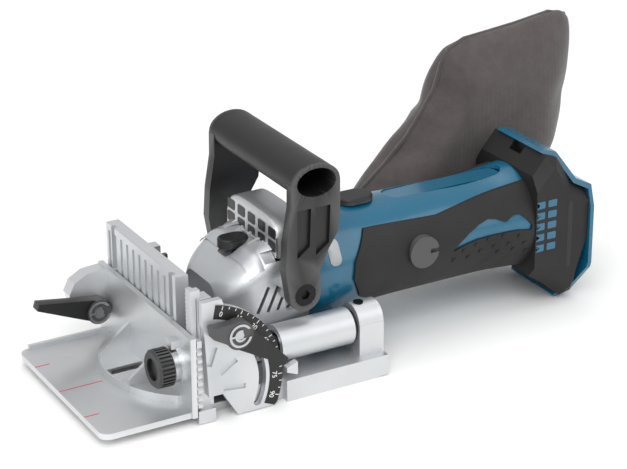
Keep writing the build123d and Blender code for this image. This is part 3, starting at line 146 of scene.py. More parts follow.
@dataclass(frozen=True)
class Finish:
    """One real material and how its surface was made."""

    name: str
    light: str
    dark: str
    metallic: float
    roughness: float
    grain: Grain
    grain_mm: float
    relief_mm: float
    coat: float = 0.0
    ior: float = 1.5
    wear: float = 0.0

    def build(self) -> bpy.types.Material:
        """Makes the material: cloudy tone, fine grain in the relief, and paler worn edges.

        Returns:
            The Blender material.
        """
        material = bpy.data.materials.new(self.name)
        material.use_nodes = True
        tree = material.node_tree
        tree.nodes.clear()
        place = add_node(tree, "ShaderNodeTexCoord").outputs["Object"]
        cloud = add_node(
            tree,
            "ShaderNodeTexNoise",
            {"Scale": per_metre(35.0), "Detail": 3.0, "Roughness": 0.55},
            {"Vector": place},
        ).outputs["Fac"]
        fine = self._grain_height(tree, place)
        tone = add_node(
            tree,
            "ShaderNodeMix",
            {"data_type": "RGBA", "blend_type": "MIX"},
            {"Factor": cloud},
        )
        tone.inputs[6].default_value = linear(self.light)
        tone.inputs[7].default_value = linear(self.dark)
        colour = tone.outputs[2]
        if self.wear:
            colour = self._worn_edges(tree, colour)
        rough = add_node(
            tree,
            "ShaderNodeMapRange",
            {"From Min": 0.3, "From Max": 0.7, "To Min": self.roughness - 0.05, "To Max": self.roughness + 0.07},
            {"Value": cloud},
        ).outputs["Result"]
        bump = add_node(
            tree,
            "ShaderNodeBump",
            {"Strength": 0.6, "Distance": self.relief_mm * MM},
            {"Height": fine},
        ).outputs["Normal"]
        shader = add_node(
            tree,
            "ShaderNodeBsdfPrincipled",
            {"Metallic": self.metallic, "IOR": self.ior, "Coat Weight": self.coat, "Coat Roughness": 0.12},
            {"Base Color": colour, "Roughness": rough, "Normal": bump},
        )
        add_node(tree, "ShaderNodeOutputMaterial", None, {"Surface": shader.outputs["BSDF"]})
        material.diffuse_color = linear(self.light)
        return material

    def _grain_height(self, tree: bpy.types.NodeTree, place: bpy.types.NodeSocket) -> bpy.types.NodeSocket:
        """The height of the surface's own grain, at its real size."""
        if self.grain is Grain.TURNED:
            stretch = add_node(tree, "ShaderNodeMapping", {"Scale": (1.0, 1.0, 1.0)}, {"Vector": place})
            stretch.inputs["Scale"].default_value = (0.12, 1.0, 1.0)
            place = stretch.outputs["Vector"]
        return add_node(
            tree,
            "ShaderNodeTexNoise",
            {"Scale": per_metre(self.grain_mm), "Detail": 2.0, "Roughness": 0.6},
            {"Vector": place},
        ).outputs["Fac"]

    def _worn_edges(self, tree: bpy.types.NodeTree, colour: bpy.types.NodeSocket) -> bpy.types.NodeSocket:
        """Lifts the colour where the surface is sharply convex, as handling does."""
        point = add_node(tree, "ShaderNodeNewGeometry").outputs["Pointiness"]
        edge = add_node(
            tree,
            "ShaderNodeMapRange",
            {"From Min": 0.52, "From Max": 0.60, "To Min": 0.0, "To Max": self.wear},
            {"Value": point},
        ).outputs["Result"]
        mix = add_node(tree, "ShaderNodeMix", {"data_type": "RGBA", "blend_type": "SCREEN"}, {"Factor": edge, ":6": colour})
        mix.inputs[7].default_value = (0.5, 0.5, 0.5, 1.0)
        return mix.outputs[2]


@dataclass(frozen=True)
class WovenPolyester:
    """Plain-woven polyester bag cloth: matt, with a soft bloom at grazing angles."""

    name: str = "woven_polyester"
    light: str = "#5C5654"
    dark: str = "#383433"
    thread_mm: float = 1.1  # real threads are 0.4 mm apart: drawn coarser, so that they show
    relief_mm: float = 0.12

    def build(self) -> bpy.types.Material:
        """Makes the cloth from two crossed sets of threads.

        Returns:
            The Blender material.
        """
        material = bpy.data.materials.new(self.name)
        material.use_nodes = True
        tree = material.node_tree
        tree.nodes.clear()
        place = add_node(tree, "ShaderNodeTexCoord").outputs["Object"]
        threads = []
        for direction in ("X", "Z"):
            wave = add_node(
                tree,
                "ShaderNodeTexWave",
                {
                    "wave_type": "BANDS",
                    "bands_direction": direction,
                    "Scale": per_metre(self.thread_mm) / 10,
                    "Distortion": 0.6,
                },
                {"Vector": place},
            )
            threads.append(wave.outputs["Fac"])
        crossed = add_node(tree, "ShaderNodeMath", {"operation": "MULTIPLY"}, {":0": threads[0], ":1": threads[1]})
        weave = crossed.outputs[0]
        cloud = add_node(
            tree, "ShaderNodeTexNoise", {"Scale": per_metre(9.0), "Detail": 8.0, "Roughness": 0.75}, {"Vector": place}
        ).outputs["Fac"]
        tone = add_node(tree, "ShaderNodeMix", {"data_type": "RGBA"}, {"Factor": cloud})
        tone.inputs[6].default_value = linear(self.light)
        tone.inputs[7].default_value = linear(self.dark)
        bump = add_node(
            tree, "ShaderNodeBump", {"Strength": 0.4, "Distance": self.relief_mm * MM}, {"Height": weave}
        ).outputs["Normal"]
        shader = add_node(
            tree,
            "ShaderNodeBsdfPrincipled",
            {"Roughness": 0.9, "Sheen Weight": 0.35, "Sheen Roughness": 0.5, "Specular IOR Level": 0.25},
            {"Base Color": tone.outputs[2], "Normal": bump},
        )
        add_node(tree, "ShaderNodeOutputMaterial", None, {"Surface": shader.outputs["BSDF"]})
        material.diffuse_color = linear(self.light)
        return material


@dataclass(frozen=True)
class Finishes:
    """Every finish on the tool."""

    # Die-cast aluminium, bead blasted and lacquered: even silver with a soft sheen. The real grit is
    # about 0.2 mm, drawn at 0.9 mm so that it shows.
    cast_aluminium: Finish = Finish("cast_aluminium", "#D2D4D6", "#C0C2C5", 0.82, 0.40, Grain.CAST, 0.9, 0.05, wear=0.35)
    # The angle guide's extrusion and flange are milled: brighter, with a fine directional lay.
    milled_aluminium: Finish = Finish("milled_aluminium", "#DCDDDE", "#CDCFD1", 0.85, 0.34, Grain.TURNED, 0.8, 0.03, wear=0.3)
    # Ground steel bars and shafts, nearly mirror-like along the lay.
    ground_steel: Finish = Finish("ground_steel", "#C8CACC", "#B4B6B9", 1.0, 0.22, Grain.TURNED, 0.6, 0.02)
    # Hardened blade plate with a grey heat-treated skin.
    blade_steel: Finish = Finish("blade_steel", "#A9ABAE", "#8E9093", 1.0, 0.32, Grain.TURNED, 0.7, 0.03)
    # Spring wire, drawn and oiled.
    spring_wire: Finish = Finish("spring_wire", "#9FA1A4", "#85878A", 1.0, 0.28, Grain.TURNED, 0.6, 0.02)
    # Black-oxided screws: soft satin black.
    black_oxide: Finish = Finish("black_oxide", "#2A2A2C", "#1D1D1F", 0.8, 0.42, Grain.TURNED, 0.7, 0.03)
    # Glass-filled nylon, moulded against a spark-eroded tool: a fine orange-peel of 0.3 mm, drawn at 0.8 mm.
    glass_filled_nylon: Finish = Finish("glass_filled_nylon", "#171617", "#101010", 0.0, 0.42, Grain.SPARKED, 0.8, 0.05, wear=0.12)
    # Over-moulded thermoplastic elastomer: dark, matt and slightly warm.
    elastomer: Finish = Finish("elastomer", "#151312", "#0F0D0D", 0.0, 0.62, Grain.SPARKED, 0.7, 0.06)
    # Pigmented ABS with a polished moulding surface: deep teal blue with a clear gloss.
    teal_abs: Finish = Finish("teal_abs", "#045F7E", "#04546F", 0.0, 0.26, Grain.POLISHED, 3.0, 0.01, coat=0.5, ior=1.53)
    # The scale's enamelled strip and print. The black one also serves as painted shade: the hood's outlets and the
    # mount's groove are black sheets that stand for the shade inside them.
    black_enamel: Finish = Finish("black_enamel", "#161617", "#0F0F10", 0.0, 0.35, Grain.PRINTED, 1.0, 0.01)
    white_enamel: Finish = Finish("white_enamel", "#F2F2EE", "#E6E6E2", 0.0, 0.45, Grain.PRINTED, 1.0, 0.01)
    red_enamel: Finish = Finish("red_enamel", "#C8283A", "#B01E30", 0.0, 0.40, Grain.PRINTED, 1.0, 0.01)
    # Hard-drawn copper, lightly oxidised.
    copper: Finish = Finish("copper", "#C98A63", "#A86B48", 1.0, 0.30, Grain.TURNED, 0.8, 0.02)
    # Pressed carbon and ferrite: dull and granular.
    pressed_carbon: Finish = Finish("pressed_carbon", "#303033", "#222224", 0.1, 0.7, Grain.SPARKED, 0.8, 0.06)
    # Laminated electrical steel, varnished.
    varnished_laminations: Finish = Finish("varnished_laminations", "#7C6E63", "#655A51", 0.8, 0.4, Grain.TURNED, 0.9, 0.05)
    bag_cloth: WovenPolyester = WovenPolyester()


class Paintbox:
    """Builds each finish once, when it is first asked for."""

    def __init__(self, finishes: Finishes) -> None:
        """Keeps the finishes and an empty store of materials."""
        self._finishes = finishes
        self._made: dict[str, bpy.types.Material] = {}

    def get(self, name: str) -> bpy.types.Material:
        """The material of a finish.

        Args:
            name: a field of Finishes.

        Returns:
            The Blender material.
        """
        if name not in self._made:
            self._made[name] = getattr(self._finishes, name).build()
        return self._made[name]


# ---- Mesh helpers ------------------------------------------------------------------------------
class Workshop:
    """Makes mesh pieces in millimetres in the CAD frame, and finds places on CAD surfaces."""

    def __init__(self, frame: dict[str, Any], paint: Paintbox) -> None:
        """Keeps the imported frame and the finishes."""
        self.frame = frame
        self.paint = paint
        self._trees: dict[str, BVHTree] = {}

    def dress(self, finish: str, *nodes: str) -> None:
        """Gives CAD nodes a finish.

        Args:
            finish: a field of Finishes.
            nodes: the CAD nodes' names.
        """
        for name in nodes:
            obj = self.frame["nodes"][name]
            if not obj.material_slots:
                obj.data.materials.append(self.paint.get(finish))
            for slot in obj.material_slots:
                slot.material = self.paint.get(finish)

    def piece(
        self,
        name: str,
        points: list[Point] | list[Vector],
        faces: list[tuple[int, ...]],
        finish: str,
        body: str,
        smooth: bool = True,
    ) -> bpy.types.Object:
        """Makes one mesh piece that rides on a body.

        Args:
            name: the piece's name.
            points: its vertices in millimetres.
            faces: its faces as vertex numbers.
            finish: a field of Finishes.
            body: the CAD body it moves with.
            smooth: whether its faces are shaded smooth.

        Returns:
            The new object.
        """
        mesh = bpy.data.meshes.new(name)
        mesh.from_pydata([(x * MM, y * MM, z * MM) for x, y, z in points], [], faces)
        mesh.validate()
        work = bmesh.new()
        work.from_mesh(mesh)
        bmesh.ops.recalc_face_normals(work, faces=work.faces)
        work.to_mesh(mesh)
        work.free()
        for polygon in mesh.polygons:
            polygon.use_smooth = smooth
        mesh.materials.append(self.paint.get(finish))
        obj = bpy.data.objects.new(name, mesh)
        bpy.context.scene.collection.objects.link(obj)
        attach(obj, body)
        LOG.info("piece %s rides on %s", name, body)
        return obj

    def tree(self, node: str) -> BVHTree:
        """A search tree of a CAD node's surface, in metres."""
        if node not in self._trees:
            mesh = self.frame["nodes"][node].data
            points = [v.co.copy() for v in mesh.vertices]
            self._trees[node] = BVHTree.FromPolygons(points, [tuple(p.vertices) for p in mesh.polygons])
        return self._trees[node]

    def land(self, node: str, start: Point, towards: Point) -> tuple[Vector, Vector] | None:
        """Where a line from a point first meets a CAD node.

        Args:
            node: the CAD node's name.
            start: the line's start in millimetres.
            towards: its direction.

        Returns:
            The place in millimetres and the surface's normal, or None.
        """
        place, normal, _, _ = self.tree(node).ray_cast(Vector(start) * MM, Vector(towards).normalized())
        if place is None:
            return None
        if normal.dot(Vector(towards)) > 0:
            normal = -normal
        return place / MM, normal

    def tube(self, path: list[Vector], radius: float, sides: int = 10) -> tuple[list[Vector], list[tuple[int, ...]]]:
        """A round tube along a path.

        Args:
            path: its points in millimetres.
            radius: its radius in millimetres.
            sides: how many sides it has.

        Returns:
            Vertices and faces.
        """
        points: list[Vector] = []
        faces: list[tuple[int, ...]] = []
        side = Vector((0, 0, 1))
        for k, place in enumerate(path):
            ahead = path[min(k + 1, len(path) - 1)] - path[max(k - 1, 0)]
            ahead.normalize()
            along = side.dot(ahead)
            side = (side - ahead * along).normalized() if abs(along) < 0.99 else ahead.orthogonal().normalized()
            other = ahead.cross(side)
            for j in range(sides):
                turn = 2 * math.pi * j / sides
                points.append(place + (side * math.cos(turn) + other * math.sin(turn)) * radius)
        for k in range(len(path) - 1):
            for j in range(sides):
                a, b = k * sides + j, k * sides + (j + 1) % sides
                faces.append((a, b, b + sides, a + sides))
        faces.append(tuple(range(sides)))
        last = (len(path) - 1) * sides
        faces.append(tuple(last + j for j in reversed(range(sides))))
        return points, faces

    def plate(self, outline: list[Vector], normal: Vector, thick: float) -> tuple[list[Vector], list[tuple[int, ...]]]:
        """A thin slab from an outline, raised along a normal.

        Args:
            outline: the lower face's corners, in order.
            normal: the way it is raised.
            thick: its thickness in millimetres.

        Returns:
            Vertices and faces.
        """
        count = len(outline)
        lift = normal.normalized() * thick
        points = list(outline) + [p + lift for p in outline]
        faces: list[tuple[int, ...]] = [tuple(range(count)), tuple(range(count, 2 * count))]
        faces += [(k, (k + 1) % count, (k + 1) % count + count, k + count) for k in range(count)]
        return points, faces


# ---- Studio ------------------------------------------------------------------------------------
@dataclass
class Studio:
    """Camera, floor and soft light."""

    azimuth: float = -29.56
    elevation: float = 23.41
    roll: float = -0.203
    eye_mm: Point = (-509.25, -992.83, 563.76)
    lens_mm: float = 120.85
    floor_m: float = 8.0

    def build(self) -> None:
        """Sets up the whole studio."""
        self._camera()
        self._floor()
        self._light("key", (-0.9, -1.5, 1.9), 1.6, 30.0)
        self._light("fill", (1.5, -1.3, 1.1), 1.8, 11.0)
        self._light("top", (0.1, 0.3, 2.2), 1.8, 15.0)
        self._light("front", (-1.9, -0.2, 0.7), 1.2, 7.0)
        world = bpy.data.worlds.new("studio")
        world.use_nodes = True
        world.node_tree.nodes["Background"].inputs["Color"].default_value = linear("#F4F5F6")
        world.node_tree.nodes["Background"].inputs["Strength"].default_value = 0.7
        bpy.context.scene.world = world
        bpy.context.scene.view_settings.view_transform = "Standard"

    def _camera(self) -> None:
        """Puts the camera where the object is seen from, with no depth of field."""
        a, e = math.radians(self.azimuth), math.radians(self.elevation)
        back = Vector((math.sin(a) * math.cos(e), -math.cos(a) * math.cos(e), math.sin(e)))
        right = Vector((0, 0, 1)).cross(back).normalized()
        up = back.cross(right)
        c, s = math.cos(math.radians(self.roll)), math.sin(math.radians(self.roll))
        right, up = right * c + up * s, up * c - right * s
        data = bpy.data.cameras.new("camera")
        data.lens = self.lens_mm
        data.sensor_width = 36.0
        data.sensor_fit = "HORIZONTAL"
        data.clip_start = 0.05
        data.clip_end = 50.0
        camera = bpy.data.objects.new("camera", data)
        camera.matrix_world = Matrix(
            (
                (right.x, up.x, back.x, self.eye_mm[0] * MM),
                (right.y, up.y, back.y, self.eye_mm[1] * MM),
                (right.z, up.z, back.z, self.eye_mm[2] * MM),
                (0, 0, 0, 1),
            )
        )
        bpy.context.scene.collection.objects.link(camera)
        bpy.context.scene.camera = camera

    def _floor(self) -> None:
        """A plain pale floor."""
        half = self.floor_m / 2
        mesh = bpy.data.meshes.new("floor")
        corners = [(-half, -half, 0), (half, -half, 0), (half, half, 0), (-half, half, 0)]
        mesh.from_pydata(corners, [], [(0, 1, 2, 3)])
        material = bpy.data.materials.new("pale_floor")
        material.use_nodes = True
        shader = material.node_tree.nodes["Principled BSDF"]
        shader.inputs["Base Color"].default_value = linear("#F4F4F3")
        shader.inputs["Roughness"].default_value = 0.85
        mesh.materials.append(material)
        floor = bpy.data.objects.new("floor", mesh)
        bpy.context.scene.collection.objects.link(floor)

    def _light(self, name: str, place: Point, size: float, power: float) -> None:
        """Adds one square soft light aimed at the tool.

        Args:
            name: the light's name.
            place: where it stands, in metres.
            size: its side in metres.
            power: its power in watts.
        """
        data = bpy.data.lights.new(name, "AREA")
        data.shape = "SQUARE"
        data.size = size
        data.energy = power
        lamp = bpy.data.objects.new(name, data)
        lamp.location = place
        aim = Vector((0.08, 0, 0.06)) - Vector(place)
        lamp.rotation_euler = aim.to_track_quat("-Z", "Y").to_euler()
        bpy.context.scene.collection.objects.link(lamp)


# ---- Sub-assemblies ----------------------------------------------------------------------------
@dataclass
class Base:
    """The base casting with its bars, springs, cover and blade cutter."""

    shop: Workshop
    spring_start: float = -24.4
    spring_length: float = 58.8
    spring_turns: float = 9.0
    spring_mean: float = 6.5
    wire_radius: float = 0.6
    bar_y: float = 45.0
    bar_z: float = 30.0
    spring_keep: float = 0.6

    def build(self) -> None:
        """Dresses the base and makes its springs."""
        self.shop.dress("cast_aluminium", "base_casting", "blade_cover", "angle_pointer")
        self.shop.dress("ground_steel", "guide_bars", "base_studs", "cover_hinge_pin")
        self.shop.dress("elastomer", "rear_bumpers")
        self.shop.dress("black_oxide", "post_screws", "cover_screws")
        self.shop.dress("glass_filled_nylon", "dust_nozzle", "depth_turret")
        springs = [self._spring(side) for side in (-1, 1)]
        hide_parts("return_springs")
        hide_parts("return_springs")

    def _spring(self, side: int) -> bpy.types.Object:
        """One return spring round its bar.

        Args:
            side: -1 for the knob's side, 1 for the other.

        Returns:
            The spring.
        """
        steps = int(self.spring_turns * 24)
        path = []
        for k in range(steps + 1):
            turn = 2 * math.pi * self.spring_turns * k / steps
            along = self.wire_radius + (self.spring_length - 2 * self.wire_radius) * self._spacing(k / steps)
            path.append(
                Vector(
                    (
                        self.spring_start + along,
                        side * self.bar_y + self.spring_mean * math.cos(turn),
                        self.bar_z + self.spring_mean * math.sin(turn),
                    )
                )
            )
        points, faces = self.shop.tube(path, self.wire_radius, 8)
        name = "return_spring_near" if side < 0 else "return_spring_far"
        spring = self.shop.piece(name, points, faces, "spring_wire", "base")
        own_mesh(spring)
        return spring

    def _spacing(self, share: float) -> float:
        """How far along the spring a share of its turns has come: its end turns lie close together."""
        return share - 0.045 * math.sin(2 * math.pi * share) / (2 * math.pi) * 2


@dataclass
class Cutter:
    """The blade, its drive and the motor inside the housings."""

    shop: Workshop

    def build(self) -> None:
        """Dresses the pieces that turn and those round them."""
        self.shop.dress("ground_steel", "spindle", "bevel_gear", "bevel_pinion")
        self.shop.dress("ground_steel", "armature_shaft", "blade_flange", "ball_bearings")
        self.shop.dress("blade_steel", "joiner_blade")
        self.shop.dress("black_oxide", "blade_nut", "motor_yoke")
        self.shop.dress("varnished_laminations", "armature_core")
        self.shop.dress("copper", "commutator", "battery_contacts")
        self.shop.dress("pressed_carbon", "carbon_brushes", "field_magnets")
        self.shop.dress("glass_filled_nylon", "cooling_fan", "switch_module", "terminal_block")


@dataclass
class Fence:
    """The tilting fence with its quadrants and the angle scale's figures."""

    shop: Workshop
    pivot: Flat = (-52.8, 21.0)
    face_y: float = -61.5
    zero_angle: float = 73.4
    ring_inner: float = 43.0
    ring_outer: float = 51.2
    figure_mm: float = 4.2
    figures: tuple[int, ...] = (0, 15, 30, 45, 60, 75, 90)

    def build(self) -> None:
        """Dresses the fence and prints its scale."""
        self.shop.dress("cast_aluminium", "fence_casting", "angle_quadrant", "far_quadrant", "height_rack")
        self.shop.dress("black_enamel", "angle_scale")
        self._ticks()
        for value in self.figures:
            self._figure(value)

    def _spot(self, radius: float, angle: float, y: float) -> Vector:
        """A place on the scale."""
        turn = math.radians(angle)
        return Vector((self.pivot[0] + radius * math.cos(turn), y, self.pivot[1] + radius * math.sin(turn)))

    def _ticks(self) -> None:
        """The scale's lines: one every 5 degrees, with longer ones at the figures."""
        points: list[Vector] = []
        faces: list[tuple[int, ...]] = []
        for step in range(0, 91, 5):
            angle = self.zero_angle - step
            inner = self.ring_outer - (2.6 if step % 15 == 0 else 1.7)
            half = math.degrees(0.22 / self.ring_outer)
            corners = [
                self._spot(inner, angle - half, self.face_y),
                self._spot(self.ring_outer - 0.3, angle - half, self.face_y),
                self._spot(self.ring_outer - 0.3, angle + half, self.face_y),
                self._spot(inner, angle + half, self.face_y),
            ]
            new_points, new_faces = self.shop.plate(corners, Vector((0, -1, 0)), 0.06)
            faces += [tuple(v + len(points) for v in f) for f in new_faces]
            points += new_points
        ticks = self.shop.piece("scale_ticks", points, faces, "white_enamel", "fence", smooth=False)

    def _figure(self, value: int) -> None:
        """One number of degrees, standing outwards on the ring.

        Args:
            value: the number of degrees.
        """
        curve = bpy.data.curves.new(f"scale_figure_{value}", "FONT")
        curve.body = str(value)
        curve.size = self.figure_mm * MM
        curve.extrude = 0.03 * MM
        curve.align_x = "CENTER"
        curve.align_y = "CENTER"
        angle = self.zero_angle - value
        place = self._spot(self.ring_outer - 5.1, angle, self.face_y - 0.04)
        up = Vector((math.cos(math.radians(angle)), 0, math.sin(math.radians(angle))))
        out = Vector((0, -1, 0))
        side = up.cross(out)
        turn = Matrix((side, up, out)).transposed().to_4x4()
        source = bpy.data.objects.new(f"scale_source_{value}", curve)
        bpy.context.scene.collection.objects.link(source)
        bpy.context.view_layer.update()
        mesh = bpy.data.meshes.new_from_object(source.evaluated_get(bpy.context.evaluated_depsgraph_get()))
        bpy.data.objects.remove(source)
        mesh.transform(Matrix.Translation(place * MM) @ turn)
        mesh.materials.clear()
        mesh.materials.append(self.shop.paint.get("white_enamel"))
        figure = bpy.data.objects.new(f"scale_figure_{value}", mesh)
        bpy.context.scene.collection.objects.link(figure)
        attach(figure, "fence")
        LOG.info("figure %d rides on fence", value)


@dataclass
class AngleGuide:
    """The sliding guide with its knob, clamp levers and painted centre marks."""

    shop: Workshop
    flange_top: float = 8.5
    flange_front: float = -112.5
    mark_half: float = 0.35
    marks: tuple[tuple[float, float, float], ...] = (
        (0.0, -112.3, -85.3),
        (35.0, -112.3, -103.3),
        (-35.0, -112.3, -103.3),
    )

    def build(self) -> None:
        """Dresses the guide and paints its marks."""
        self.shop.dress("milled_aluminium", "angle_guide")
        self.shop.dress("ground_steel", "knob_collar", "guide_clamp_stud", "height_pinion")
        self.shop.dress("ground_steel", "guide_lever_ring", "angle_lever_ring")
        self.shop.dress("glass_filled_nylon", "height_knob", "guide_lock_lever", "angle_lock_lever")
        for k, (y, start, end) in enumerate(self.marks):
            low, high = y - self.mark_half, y + self.mark_half
            spots = ((start, low), (end, low), (end, high), (start, high))
            corners = [Vector((across, along, self.flange_top)) for across, along in spots]
            points, faces = self.shop.plate(corners, Vector((0, 0, 1)), 0.06)
            mark = self.shop.piece(f"guide_mark_{k}", points, faces, "red_enamel", "guide", smooth=False)


@dataclass
class MotorUnit:
    """The castings, housings, grip and battery mount."""

    shop: Workshop
    dots: tuple[Flat, ...] = (
        (180.0, 53.2), (168.7, 55.3), (158.4, 55.3), (149.5, 53.5), (140.6, 51.4),
        (133.9, 46.6), (184.0, 47.6), (173.1, 49.1), (162.4, 49.6), (152.9, 48.4),
        (144.4, 46.1), (186.0, 41.5), (176.7, 44.5), (165.8, 45.0),
    )
    vent_start: Flat = (194.0, 42.5)
    rim_x: float = 225.0
    hood_half: float = 31.0
    hood_floor: float = 75.0
    hood_rise: float = 21.5
    hood_depth: float = 19.0

    def build(self) -> None:
        """Dresses the motor unit."""
        self.shop.dress("cast_aluminium", "gear_housing", "bearing_box")
        self.shop.dress("teal_abs", "motor_housing_near", "motor_housing_far", "battery_rim")
        self.shop.dress("elastomer", "grip_panel_near", "grip_panel_far", "battery_mount")
        self.shop.dress("glass_filled_nylon", "brush_covers", "switch_slide", "shaft_lock_button", "front_grip")
        self.shop.dress("black_oxide", "gear_housing_screws", "housing_screws", "grip_bolts")
        self.shop.dress("ground_steel", "depth_stop_rod")
        self._grip_dots()
        self._mount_vents()
        self._side_slot()
        self._rim_dots()
        self._insert()
        self._vent_hood()
        self._nose_cap()
        self._recess_floor()
        for y in (-25.0, -12.5, 0.0, 12.5, 25.0):
            for z in (81.0, 89.0):
                self._vent_window(y, z)

    def _patch(
        self,
        name: str,
        node: str,
        middle: Flat,
        size: Flat,
        finish: str,
        proud: float,
        corner: float,
    ) -> None:
        """Adds one flat patch with round corners that stands proud of a CAD node's near side.

        Args:
            name: the patch's name.
            node: the CAD node it lies on.
            middle: its centre along X and Z in millimetres.
            size: its length along X and Z in millimetres.
            finish: a field of Finishes.
            proud: how far it stands out in millimetres.
            corner: its corners' radius in millimetres.
        """
        found = self.shop.land(node, (middle[0], -80.0, middle[1]), (0, 1, 0))
        if found is None:
            LOG.warning("%s finds no surface on %s", name, node)
            return
        outward = found[1]
        points: list[Vector] = [found[0] + outward * proud]
        for share in (0.35, 0.7, 1.0):
            ring = self._ring(node, middle, size, corner, share, found[0])
            points += [spot + outward * proud for spot in ring]
        points += [spot - outward * 0.2 for spot in ring]
        count = 20
        faces: list[tuple[int, ...]] = [(0, 1 + k, 1 + (k + 1) % count) for k in range(count)]
        for number in range(3):
            low, high = 1 + number * count, 1 + (number + 1) * count
            for k in range(count):
                following = (k + 1) % count
                faces.append((low + k, low + following, high + following, high + k))
        faces.append(tuple(1 + 3 * count + k for k in range(count)))
        patch = self.shop.piece(name, points, faces, finish, "motor_unit", smooth=False)

    def _ring(
        self,
        node: str,
        middle: Flat,
        size: Flat,
        corner: float,
        share: float,
        fallback: Vector,
    ) -> list[Vector]:
        """Places on a CAD node's near side along a rounded rectangle.

        Args:
            node: the CAD node's name.
            middle: the rectangle's centre along X and Z in millimetres.
            size: its full length along X and Z in millimetres.
            corner: its corners' radius in millimetres.
            share: how much of the full size this ring takes.
            fallback: the place used where the line misses the node.

        Returns:
            Twenty places, in order.
        """
        spots: list[Vector] = []
        for quarter, (sx, sz) in enumerate(((1, 1), (-1, 1), (-1, -1), (1, -1))):
            for step in range(5):
                turn = math.radians(90 * quarter + 22.5 * step)
                x = middle[0] + share * (sx * (size[0] / 2 - corner) + corner * math.cos(turn))
                z = middle[1] + share * (sz * (size[1] / 2 - corner) + corner * math.sin(turn))
                place = self.shop.land(node, (x, -80.0, z), (0, 1, 0))
                spots.append(place[0] if place else fallback)
        return spots

    def _hood_front(self, y: float, z: float) -> Vector:
        """A place on the vent hood's slightly leaning front."""
        return Vector((12.3 + 0.02 * (z - 76.0), y, z))

    def _vent_hood(self) -> None:
        """The cast hood over the collar that carries the air outlets."""
        steps, rows = 36, 6
        points: list[Vector] = []
        for row in range(rows + 1):
            for k in range(steps + 1):
                y = self.hood_half * math.sin(math.pi * (k / steps - 0.5))
                top = self.hood_floor + self.hood_rise * max(0.0, 1 - (abs(y) / self.hood_half) ** 4) ** 0.25
                narrowing = 0.97 if row == rows else 1.0
                points.append(self._hood_front(y * narrowing, self.hood_floor + (top - self.hood_floor) * row / rows))
        arch = points[-(steps + 1):]
        for depth, grow in ((1.2, 1.03), (8.0, 1.035), (self.hood_depth, 1.04)):
            for spot in arch:
                height = self.hood_floor + (spot.z - self.hood_floor) * grow
                points.append(Vector((spot.x + depth, spot.y * grow, height)))
        across = steps + 1
        faces: list[tuple[int, ...]] = []
        for row in range(rows + 3):
            for k in range(steps):
                a = row * across + k
                faces.append((a, a + 1, a + 1 + across, a + across))
        hood = self.shop.piece("vent_hood", points, faces, "cast_aluminium", "motor_unit")

    def _nose_cap(self) -> None:
        """The smooth saddle between the shaft lock and the hood, open round the lock's well."""
        along = [-6.0 + 1.5 * k for k in range(13)]
        across = [-31.5 + 1.5 * k for k in range(43)]
        points: list[Vector] = []
        for x in along:
            top = 75.5 + 8.5 * max(0.0, x - 1.0) / 31.0 + 9.0 * min(0.0, x - 1.0) / 14.5 + 0.9
            corner = 14.5 + 6.0 * (x - 1.0) / 31.0
            flat = 33.6 - corner
            for y in across:
                over = max(0.0, abs(y) - flat)
                points.append(Vector((x, y, top - corner + math.sqrt(max(0.0, corner**2 - over**2)))))
        faces: list[tuple[int, ...]] = []
        for i in range(len(along) - 1):
            for j in range(len(across) - 1):
                middle = (along[i] + 0.75, across[j] + 0.75)
                if middle[0] < 10.0 and abs(middle[1]) < 7.6:
                    continue
                a = i * len(across) + j
                faces.append((a, a + 1, a + 1 + len(across), a + len(across)))
        cap = self.shop.piece("nose_saddle", points, faces, "cast_aluminium", "motor_unit")

    def _recess_floor(self) -> None:
        """The flat floor of the long recess along the top."""
        middle, half, radius, level = 143.0, 34.0, 7.1, 84.35
        points: list[Vector] = []
        for end in (1, -1):
            for step in range(13):
                turn = math.radians(-90 + 15 * step)
                x = middle + end * (half + radius * math.cos(turn))
                points.append(Vector((x, end * radius * math.sin(turn), level)))
        faces: list[tuple[int, ...]] = [tuple(range(len(points)))]
        floor = self.shop.piece("recess_floor", points, faces, "teal_abs", "motor_unit", smooth=False)

    def _vent_window(self, y: float, z: float) -> None:
        """One outlet with round corners in the hood's front, drawn as a black sheet just in front of its face: painted
        shade inside the opening.

        Args:
            y: its centre's place across in millimetres.
            z: its centre's height in millimetres.
        """
        points: list[Vector] = [self._hood_front(y, z) - Vector((0.25, 0, 0))]
        for sy, sz, quarter in ((1, 1, 0), (-1, 1, 1), (-1, -1, 2), (1, -1, 3)):
            for step in range(5):
                turn = math.radians(90 * quarter + 22.5 * step)
                across = y + sy * 3.1 + 1.2 * math.cos(turn)
                height = z + sz * 1.9 + 1.2 * math.sin(turn)
                points.append(self._hood_front(across, height) - Vector((0.25, 0, 0)))
        faces = [(0, 1 + k, 1 + (k + 1) % 20) for k in range(20)]
        name = f"vent_window_{y:.0f}_{z:.0f}"
        # The black sheet is painted shade, standing for the dark inside of the outlet.
        window = self.shop.piece(name, points, faces, "black_enamel", "motor_unit", smooth=False)

    def _grip_dots(self) -> None:
        """Raised dots in three rows on the soft panel."""
        for k, middle in enumerate(self.dots):
            name = f"grip_dot_{k}"
            self._patch(name, "grip_panel_near", middle, (2.6, 2.6), "elastomer", 0.5, 1.3)

    def _mount_vents(self) -> None:
        """Air inlets in two columns on the battery mount's side."""
        for column in range(2):
            for row in range(5):
                middle = (self.vent_start[0] + 8.6 * column, self.vent_start[1] + 7.1 * row)
                name = f"mount_vent_{column}_{row}"
                self._patch(name, "battery_mount", middle, (6.4, 4.6), "teal_abs", 0.25, 0.8)

    def _side_slot(self) -> None:
        """The groove in front of the rim, drawn as a thin black patch: painted shade in the groove."""
        # Black patch: painted shade inside the groove.
        self._patch("mount_groove", "battery_mount", (216.5, 47.0), (3.4, 44.0), "black_enamel", 0.05, 1.4)

